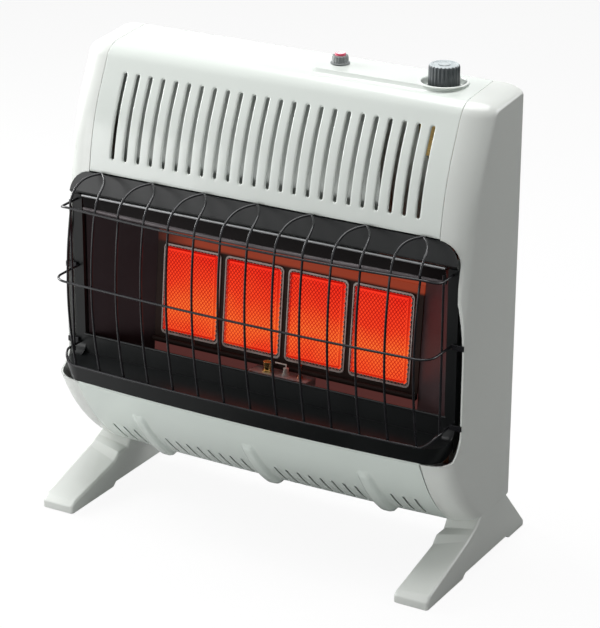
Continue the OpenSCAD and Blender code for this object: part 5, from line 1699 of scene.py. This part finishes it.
@dataclass
class Burner:
    """Four ceramic plaques under screens of expanded metal, and the parts that carry them."""

    plaques: int = 4
    width: float = 97.5
    height: float = 137.7
    pitch: float = 104.45
    tilt: float = 5.6
    foot_y: float = -0.3
    foot_z: float = 248.4
    recess: float = 1.0
    screen_rise: float = 7.3
    screen_half_w: float = 42.0
    screen_v: tuple[float, float] = (9.0, 132.5)
    cell: tuple[float, float] = (5.4, 6.9)
    strand: float = 0.62
    lattice_cells: int = 60
    border: tuple[float, float] = (1.7, 2.6)
    border_r: tuple[float, float] = (7.0, 5.6)
    border_w: tuple[float, float] = (0.5, 1.5)
    border_inset: float = 0.3
    flange_inset: float = 0.8
    flange_rise: float = 0.9

    def build(self, shop: Workshop) -> None:
        """Builds and places the burner."""
        for number in range(1, self.plaques + 1):
            self._plaque(shop, number)
        self._screens(shop)
        for node, finish, slot in (
            ("burner_plenum", "scaled_steel", "burner_steel"),
            ("burner_front_frame", "burner_frame_sheet", "burner_steel"),
            ("pilot_bracket", "pale_zinc", "burner_steel"),
            ("plaque_gaskets", "gasket_felt", "gasket_felt"),
            ("mixing_tube", "zinc_sheet", "zinc_steel"),
            ("injector", "machined_brass", "brass"),
            ("pilot_burner", "machined_brass", "brass"),
            ("spark_electrode", "white_insulator", "electrode_ceramic"),
            ("thermocouple", "drawn_copper", "copper_tube"),
        ):
            shop.dress_copy(node, finish, slot, 0.25)

    def _lean(self) -> tuple[float, float]:
        """Sine and cosine of the burner's tilt."""
        return math.sin(math.radians(self.tilt)), math.cos(math.radians(self.tilt))

    def at(self, flat: np.ndarray) -> np.ndarray:
        """Points of the tilted burner frame, as [across, up, out], in the heater's frame."""
        s, c = self._lean()
        v, w = flat[:, 1], flat[:, 2]
        return np.stack([flat[:, 0], self.foot_y + s * v - c * w, self.foot_z + c * v + s * w], axis=1)

    def centre(self, number: int) -> float:
        """Place of a plaque's middle across the burner."""
        return (number - (self.plaques + 1) / 2.0) * self.pitch

    def _plaque(self, shop: Workshop, number: int) -> None:
        """One plaque: dark rim, glowing face."""
        node = f"plaque_{number}"
        piece = shop.copy_of(node, f"{node}_fired", 0.4)
        wear(piece, shop.palette["sooted_ceramic"], shop.palette["plaque_glow"])
        s, c = self._lean()
        for face in piece.data.polygons:
            y, z = (face.center[k] / MM for k in (1, 2))
            out = -c * (y - self.foot_y) + s * (z - self.foot_z)
            facing = -c * face.normal[1] + s * face.normal[2]
            face.material_index = int(facing > 0.9 and abs(out + self.recess) < 0.3)
        shop.place(piece, Body.HEATER, "plaque_ceramic", node)

    def _screens(self, shop: Workshop) -> None:
        """Trays of expanded metal over the plaques: glowing faces and sides, pale flanges and borders."""
        parts = []
        for made, finish in (
            (self._faces(shop), "screen_glow"),
            (self._flange(shop), "ash_border"),
            (self._borders(), "ash_border"),
        ):
            shop.row.bake(
                made, shop.palette[finish],
                Count=self.plaques, Start=(self.centre(1), 0.0, 0.0), Step=(self.pitch, 0.0, 0.0),
            )
            parts.append(weld(move_points(made, self.at(points_of(made)) * MM), 1e-7, False))
        piece = join(*parts)
        piece.name = "plaque_screens_expanded"
        shop.place(piece, Body.HEATER, "burner_steel", "plaque_screens")

    def _lattice(self, shop: Workshop, name: str, **sizes: float) -> bpy.types.Object:
        """Flat piece of expanded metal, in millimetres."""
        flat = new_object(name, (np.zeros((1, 3)), []), 1.0)
        return shop.lattice.bake(
            flat, shop.palette["screen_steel"],
            Cell_Width=self.cell[0], Cell_Height=self.cell[1], Strand=self.strand, Cells=self.lattice_cells,
            **sizes,
        )

    def _faces(self, shop: Workshop) -> bpy.types.Object:
        """Raised face and sides of one tray, in the burner's frame."""
        low, high = self.screen_v
        face = self._lattice(
            shop, "screen_face",
            Half_Width=self.screen_half_w, Half_Height=(high - low) / 2.0, Inner_Width=0.0, Inner_Height=0.0,
        )
        move_points(face, points_of(face) + (0.0, (high + low) / 2.0, self.screen_rise))
        return join(face, *(self._zigzag(shop, phase) for phase in (0, 1)))

    def _flange(self, shop: Workshop) -> bpy.types.Object:
        """Strands of the flange round one tray, cooler and paler than its face."""
        low, high = self.screen_v
        flange = self._lattice(
            shop, "screen_flange",
            Half_Width=self.width / 2.0 - self.flange_inset,
            Half_Height=self.height / 2.0 - self.flange_inset,
            Inner_Width=self.screen_half_w - 1.0, Inner_Height=(high - low) / 2.0 - 1.0,
        )
        return move_points(flange, points_of(flange) + (0.0, self.height / 2.0, self.flange_rise))

    def _zigzag(self, shop: Workshop, phase: int) -> bpy.types.Object:
        """Strand that runs up and down round the four sides of one tray."""
        low, high = self.screen_v
        x0, w0, w1 = self.screen_half_w, self.flange_rise, self.screen_rise
        rim = [(-x0, low), (x0, low), (x0, high), (-x0, high), (-x0, low)]
        points = []
        for (xa, va), (xb, vb) in zip(rim, rim[1:]):
            count = 2 * round(math.hypot(xb - xa, vb - va) / self.cell[0])
            for k in range(count):
                share = k / count
                w = w1 if (k + phase) % 2 else w0
                points.append((xa + (xb - xa) * share, va + (vb - va) * share, w))
        points.append(points[0])
        strand = shop.route("screen_side", np.array(points), self.strand, "screen_steel", 4)
        return move_points(strand, points_of(strand) / MM)

    def _borders(self) -> bpy.types.Object:
        """Pale border round one tray's flange, with round corners."""
        inset = self.border_inset
        half_w, half_h = self.width / 2.0 - inset, self.height / 2.0 - inset
        outlines = []
        for (u, v), radius in zip(((0.0, 0.0), self.border), self.border_r):
            x, low, high = half_w - u, inset + v, 2 * half_h + inset - v
            corners = np.array([(-x, low), (x, low), (x, high), (-x, high)])
            outlines.append(round_outline(corners, [radius] * 4, 8))
        outer, inner = outlines
        back, front = self.border_w
        steps = ((outer, back), (outer, front), (inner, front), (inner, back), (outer, back))
        rings = [np.insert(flat, 2, w, axis=1) for flat, w in steps]
        return weld(new_object("screen_border", loft(rings), 1.0), 1e-4)


@dataclass
class Controls:
    """Fluted control knob and push-button igniter on the deck, with what they press on."""

    knob_at: tuple[float, float] = (223.5, 46.0)
    knob_z: float = 677.2
    knob_r: float = 22.25
    knob_h: float = 32.0
    flutes: int = 24
    igniter_at: tuple[float, float] = (62.0, 50.0)
    deck_z: float = 684.8
    collar_h: float = 12.2
    ribs: int = 18
    button_r: float = 7.5
    button_z: float = 681.8

    def build(self, shop: Workshop) -> None:
        """Builds and places the controls."""
        self._knob(shop)
        self._igniter(shop)
        plated = {
            "valve_spindle": Body.KNOB, "spindle_washer": Body.CARRIER, "igniter_nut": Body.HEATER,
        }
        for node, body in plated.items():
            shop.dress_copy(node, "bright_steel", "fastener_steel", 0.2, body)
        self._spring(
            shop, "spindle_spring", self.knob_at, 650.1, 657.9, 6.2, 0.4, 3
        )
        self._spring(
            shop, "igniter_spring", self.igniter_at, 644.9, 681.7, 5.9, 0.6, 6
        )

    @staticmethod
    def _sector(profile: Sequence[Point], count: int, steps: int = 10) -> Shape:
        """One flute's share of a turned piece, centred on the origin.

        Args:
            profile: Points as (radius, height, depth of the flute there).
            count: Number of flutes.
            steps: Faces across the sector.

        Returns:
            Points and faces.
        """
        points = []
        for k in range(steps + 1):
            share = k / steps
            angle = math.radians(360.0 / count) * (share - 0.5)
            hollow = max(0.0, math.cos(math.pi * (share - 0.5) * 1.35)) ** 1.5
            for r, z, depth in profile:
                reach = r - depth * hollow
                points.append((reach * math.cos(angle), reach * math.sin(angle), z))
        return np.array(points), strip_faces(steps + 1, len(profile))

    def _fluted(
        self, shop: Workshop, name: str, profile: Sequence[Point], count: int,
        at: tuple[float, float], finish: str,
    ) -> bpy.types.Object:
        """Turned piece with flutes, repeated from one sector."""
        piece = new_object(name, self._sector(profile, count), 1.0)
        shop.ring.bake(piece, shop.palette[finish], Count=count)
        weld(move_points(piece, (points_of(piece) + (*at, 0.0)) * MM), 1e-6)
        return shade(piece, SMOOTH)

    def _knob(self, shop: Workshop) -> None:
        """Knob with grip flutes, paler face and raised middle."""
        r, z, h = self.knob_r, self.knob_z, self.knob_h
        profile = [
            (0.0, z + 8.0, 0), (r - 4.0, z + 8.0, 0), (r - 3.6, z + 7.4, 0), (r - 3.1, z + 0.3, 0),
            (r - 2.8, z, 0), (r - 0.3, z, 0), (r, z + 0.3, 0), (r, z + 2.2, 0), (r - 0.3, z + 2.9, 0),
            (r - 0.7, z + 3.4, 0.1), (r - 0.72, z + 4.4, 0.9), (r - 0.75, z + 6.0, 1.3),
            (r - 0.9, z + h - 3.6, 1.3), (r - 1.1, z + h - 2.2, 1.0), (r - 1.7, z + h - 1.1, 0.5),
            (r - 2.5, z + h - 0.35, 0.15), (r - 3.4, z + h, 0), (r - 5.0, z + h, 0),
            (r - 5.8, z + h - 0.5, 0), (r - 6.4, z + h - 1.15, 0), (8.7, z + h - 1.2, 0),
            (8.2, z + h - 0.9, 0), (7.8, z + h - 0.25, 0), (7.2, z + h, 0), (3.0, z + h, 0), (0.0, z + h, 0),
        ]
        knob = self._fluted(shop, "control_knob_fluted", profile, self.flutes, self.knob_at, "knob_slate")
        knob.data.materials.append(shop.palette["knob_face"])
        for face in knob.data.polygons:
            face.material_index = int(face.center[2] / MM > z + h - 1.6 and face.normal[2] > 0.6)
        shop.place(knob, Body.KNOB, "knob_plastic", "control_knob")

    def _igniter(self, shop: Workshop) -> None:
        """Igniter: ribbed collar, barrel and a red button whose pale middle is a painted highlight."""
        z, r = self.deck_z, self.button_r
        top = z + self.collar_h
        bore = r + 0.05
        profile = [
            (bore, z - 39.0, 0), (r + 1.5, z - 39.0, 0), (r + 1.5, z - 0.1, 0), (r + 6.0, z + 0.1, 0),
            (r + 6.0, z + 1.9, 0), (r + 5.4, z + 2.6, 0), (r + 4.2, z + 2.9, 0), (r + 4.0, z + 3.6, 0.55),
            (r + 3.9, top - 2.0, 0.55), (r + 3.6, top - 0.9, 0.35), (r + 2.9, top - 0.2, 0.1),
            (r + 2.2, top, 0), (bore + 0.6, top, 0), (bore, top - 0.5, 0), (bore, z - 39.0, 0),
        ]
        collar = self._fluted(
            shop, "igniter_housing_ribbed", profile, self.ribs, self.igniter_at, "collar_grey"
        )
        shop.place(collar, Body.HEATER, "knob_plastic", "igniter_housing")
        low = self.button_z
        cap = [
            (0.0, low), (r - 0.3, low), (r, low + 0.3), (r, low + 17.2), (r - 0.3, low + 18.0),
            (r - 1.0, low + 18.4), (r - 2.0, low + 18.4), (r - 2.6, low + 18.1), (r - 2.9, low + 17.8),
            (r - 4.5, low + 17.9), (0.0, low + 18.0),
        ]
        button = turned("igniter_button_pressed", cap, *self.igniter_at, steps=64)
        wear(button, shop.palette["button_red"], shop.palette["button_white"])
        x, y = self.igniter_at
        # Faces on the middle of the button's top wear the pale finish, a painted highlight on the red
        # button.
        for face in button.data.polygons:
            away = math.hypot(face.center[0] / MM - x, face.center[1] / MM - y)
            face.material_index = int(away < r - 1.5 and face.normal[2] > 0.3)
        shop.place(button, Body.BUTTON, "button_plastic", "igniter_button")

    def _spring(
        self, shop: Workshop, node: str, at: tuple[float, float], z0: float, z1: float,
        coil: float, wire: float, turns: int,
    ) -> None:
        """Coil spring between two heights, with a mesh of its own."""
        angle = np.linspace(0.0, 2.0 * math.pi * turns, 24 * turns + 1)
        rise = np.linspace(z0 + wire, z1 - wire, len(angle))
        points = np.stack([at[0] + coil * np.cos(angle), at[1] + coil * np.sin(angle), rise], axis=1)
        spring = shop.route(f"{node}_coil", points, wire, "bright_steel", 8)
        shop.place(spring, Body.HEATER, "fastener_steel", node)
        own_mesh(spring)


@dataclass
class GasTrain:
    """Valve, regulator, fittings and tubes in the control bay."""

    parts: tuple[tuple[str, str, str], ...] = (
        ("gas_valve", "machined_brass", "brass"),
        ("valve_bracket", "zinc_sheet", "zinc_steel"),
        ("pressure_regulator", "cast_alloy", "regulator_cast"),
        ("gas_inlet_fitting", "machined_brass", "brass"),
    )
    tubes: tuple[str, ...] = ("supply_tube", "burner_tube", "pilot_tube")

    def build(self, shop: Workshop) -> None:
        """Dresses and places the gas train."""
        for node, finish, slot in self.parts:
            shop.dress_copy(node, finish, slot, 0.4)
        for node in self.tubes:
            piece = shade(shop.copy_of(node, f"{node}_drawn", 0.0), 60.0)
            shop.place(wear(piece, shop.palette["drawn_copper"]), Body.HEATER, "copper_tube", node)


@dataclass
class Fasteners:
    """Cross-headed screws of the back panel and the bolts of the feet."""

    back_x: float = 311.0
    back_y: float = 88.0
    back_z: tuple[float, ...] = (130.0, 377.75, 630.5)
    foot_x: float = 273.0
    foot_y: tuple[float, ...] = (10.0, 70.0)
    foot_z: float = 60.0

    def build(self, shop: Workshop) -> None:
        """Builds and places every screw."""
        spots = [(side.value * self.back_x, self.back_y, z) for side in Side for z in self.back_z]
        screw = self._screw(4.0, 2.4, 2.0, 9.0)
        self._scatter(shop, "panel_screws", spots, screw, (-math.pi / 2.0, 0.0, 0.0))
        spots = [(side.value * self.foot_x, y, self.foot_z - 0.1) for side in Side for y in self.foot_y]
        bolt = self._screw(5.0, 4.0, 2.4, 19.0)
        self._scatter(shop, "foot_screws", spots, bolt, (math.pi, 0.0, 0.0))

    @staticmethod
    def _screw(head_r: float, head_h: float, shank_r: float, shank: float) -> bpy.types.Object:
        """Screw with a domed head and a cross recess, its seat at the origin and its head upwards."""
        profile = [
            (0.0, -shank), (shank_r - 0.6, -shank), (shank_r, -shank + 1.0), (shank_r, 0.1),
            (head_r - 0.2, 0.1), (head_r, 0.4), (head_r, head_h * 0.55), (head_r * 0.86, head_h * 0.84),
            (head_r * 0.55, head_h), (0.0, head_h),
        ]
        screw = turned("screw", profile, 0.0, 0.0, 32)
        w, reach, low = head_r * 0.12, head_r * 0.6, head_h * 0.35
        bars = [
            prism("cross_cutter", [(-a, -b), (a, -b), (a, b), (-a, b)], 2, low, head_h + 2.0)
            for a, b in ((w, reach), (reach, w))
        ]
        return shade(cut(screw, *bars), 35.0)

    @staticmethod
    def _scatter(
        shop: Workshop, node: str, spots: Iterable[Point], screw: bpy.types.Object, turn: Point
    ) -> None:
        """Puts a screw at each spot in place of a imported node."""
        piece = new_object(f"{node}_set", (np.array(list(spots)), []))
        shop.scatter.bake(piece, shop.palette["bright_steel"], Part=screw, Turn=turn)
        bpy.data.objects.remove(screw)
        shop.place(shade(piece), Body.HEATER, "fastener_steel", node)


@dataclass(frozen=True)
class Lamp:
    """A soft area lamp: its place and target in metres, sides, power and whether gloss shows it."""

    name: str
    eye: Point
    target: Point
    size: tuple[float, float]
    watts: float
    shines: bool = True

    def make(self) -> None:
        """Adds the lamp to the scene, out of the camera's sight."""
        data = bpy.data.lights.new(self.name, "AREA")
        data.shape = "RECTANGLE"
        data.size, data.size_y = self.size
        data.energy = self.watts
        lamp = linked(self.name, data)
        aim = (Vector(self.target) - Vector(self.eye)).to_track_quat("-Z", "Y")
        lamp.matrix_world = Matrix.Translation(self.eye) @ aim.to_matrix().to_4x4()
        lamp.visible_camera = False
        lamp.visible_glossy = self.shines


@dataclass
class Studio:
    """Camera at the photograph's place, soft lights and a plain pale floor."""

    eye: Point = (1.67732235, -2.88099538, 1.65204127)
    right: Point = (0.86701075, 0.4982662, 0.0048108)
    up: Point = (-0.18889418, 0.31972166, 0.92849182)
    focal_px: float = 2524.4323
    long_side_px: float = 628.0
    floor_half: float = 12.0
    floor_white: float = 0.92
    floor_shine: tuple[float, float] = (0.95, 0.9)
    floor_fade_x: tuple[float, float] = (-0.75, 0.05)
    ambient: float = 0.02
    lamps: tuple[Lamp, ...] = (
        Lamp("left_side", (-2.2, 0.0, 1.2), (0.0, 0.0, 0.35), (1.2, 1.2), 60.0),
        Lamp("front_low", (0.2, -2.2, 0.4), (0.0, 0.0, 0.35), (0.8, 0.8), 15.0, False),
        Lamp("left_card", (-1.35, -1.45, 0.5), (0.0, 0.0, 0.45), (0.8, 0.8), 7.0),
        Lamp("right_back", (2.0, 1.6, 1.6), (0.0, 0.0, 0.35), (1.4, 1.4), 25.0),
        Lamp("top", (-0.1, 0.25, 2.6), (0.0, 0.0, 0.35), (1.6, 1.6), 50.0),
        Lamp("inside", (0.0, -0.022, 0.512), (0.0, -0.005, 0.7), (0.5, 0.03), 0.08),
    )

    def build(self) -> None:
        """Builds the camera, the lights and the floor."""
        self._camera()
        self._world()
        for lamp in self.lamps:
            lamp.make()
        self._floor()
        bpy.context.scene.view_settings.view_transform = "Standard"

    def _camera(self) -> None:
        """Camera that matches the photograph's view."""
        data = bpy.data.cameras.new("photo_camera")
        data.sensor_fit = "AUTO"
        data.sensor_width = 36.0
        data.lens = self.focal_px / self.long_side_px * data.sensor_width
        data.clip_start, data.clip_end = 0.05, 60.0
        camera = linked("photo_camera", data)
        right, up = Vector(self.right).normalized(), Vector(self.up).normalized()
        back = right.cross(up)
        turn = Matrix((right, up, back)).transposed().to_4x4()
        camera.matrix_world = Matrix.Translation(self.eye) @ turn
        bpy.context.scene.camera = camera

    @staticmethod
    def _ray(bench: Bench, kind: str) -> Socket:
        """1 for one kind of ray, such as a camera ray, and 0 for others."""
        return bench.value("ShaderNodeLightPath", output=f"Is {kind} Ray")

    def _world(self) -> None:
        """White surroundings for the camera, gloss and glass, and dim ones for light on the object."""
        world = bpy.data.worlds.new("studio")
        bpy.context.scene.world = world
        world.use_nodes = True
        bench = Bench(world.node_tree)
        world.node_tree.nodes.clear()
        seen = self._ray(bench, "Camera").at_least(self._ray(bench, "Glossy"))
        seen = seen.at_least(self._ray(bench, "Transmission"))
        strength = self.ambient + (1.0 - self.ambient) * seen
        sky = {"Color": (0.98, 0.99, 1.0, 1.0), "Strength": strength}
        glow = bench.value("ShaderNodeBackground", None, sky)
        bench.node("ShaderNodeOutputWorld", None, {"Surface": glow})

    def _floor(self) -> None:
        """White floor that keeps a faint shadow and, for gloss, fades towards the right."""
        h = self.floor_half
        corners = np.array([(-h, -h, 0.0), (h, -h, 0.0), (h, h, 0.0), (-h, h, 0.0)])
        floor = new_object("floor", (corners, [(0, 1, 2, 3)]), 1.0)
        bench = MaterialBench("floor_white")
        x, _, _ = bench.axes()
        shine, fade = self.floor_shine
        shine = self._ray(bench, "Glossy") * (shine - fade * x.step(*self.floor_fade_x))
        pale = bench.mix(self._ray(bench, "Camera"), (0.5, 0.5, 0.5), (0.9, 0.9, 0.9))
        lit = bench.value("ShaderNodeBsdfDiffuse", None, {"Color": pale})
        glow = bench.value("ShaderNodeEmission", None, {"Color": (1.0, 1.0, 1.0, 1.0), "Strength": 1.0})
        black = bench.value("ShaderNodeEmission", None, {"Color": (0.0, 0.0, 0.0, 1.0), "Strength": 0.0})
        gloss = bench.value("ShaderNodeMixShader", None, {0: shine, 1: black, 2: glow})
        whiter = self.floor_white * self._ray(bench, "Camera")
        plain = bench.value("ShaderNodeMixShader", None, {0: whiter, 1: lit, 2: glow})
        mixed = bench.value("ShaderNodeMixShader", None, {0: self._ray(bench, "Glossy"), 1: plain, 2: gloss})
        bench.node("ShaderNodeOutputMaterial", None, {"Surface": mixed})
        wear(floor, bench.material)


def main() -> None:
    """Builds every sub-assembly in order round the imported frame."""
    logging.basicConfig(level=logging.INFO, format="%(name)s: %(message)s")
    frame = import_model()
    Studio().build()
    shop = Workshop(frame["nodes"])
    casing = Casing()
    casing.build(shop)
    Feet().build(shop, casing)
    Firebox().build(shop)
    Guard().build(shop)
    Burner().build(shop)
    Controls().build(shop)
    GasTrain().build(shop)
    Fasteners().build(shop)


if __name__ == "__main__":
    main()
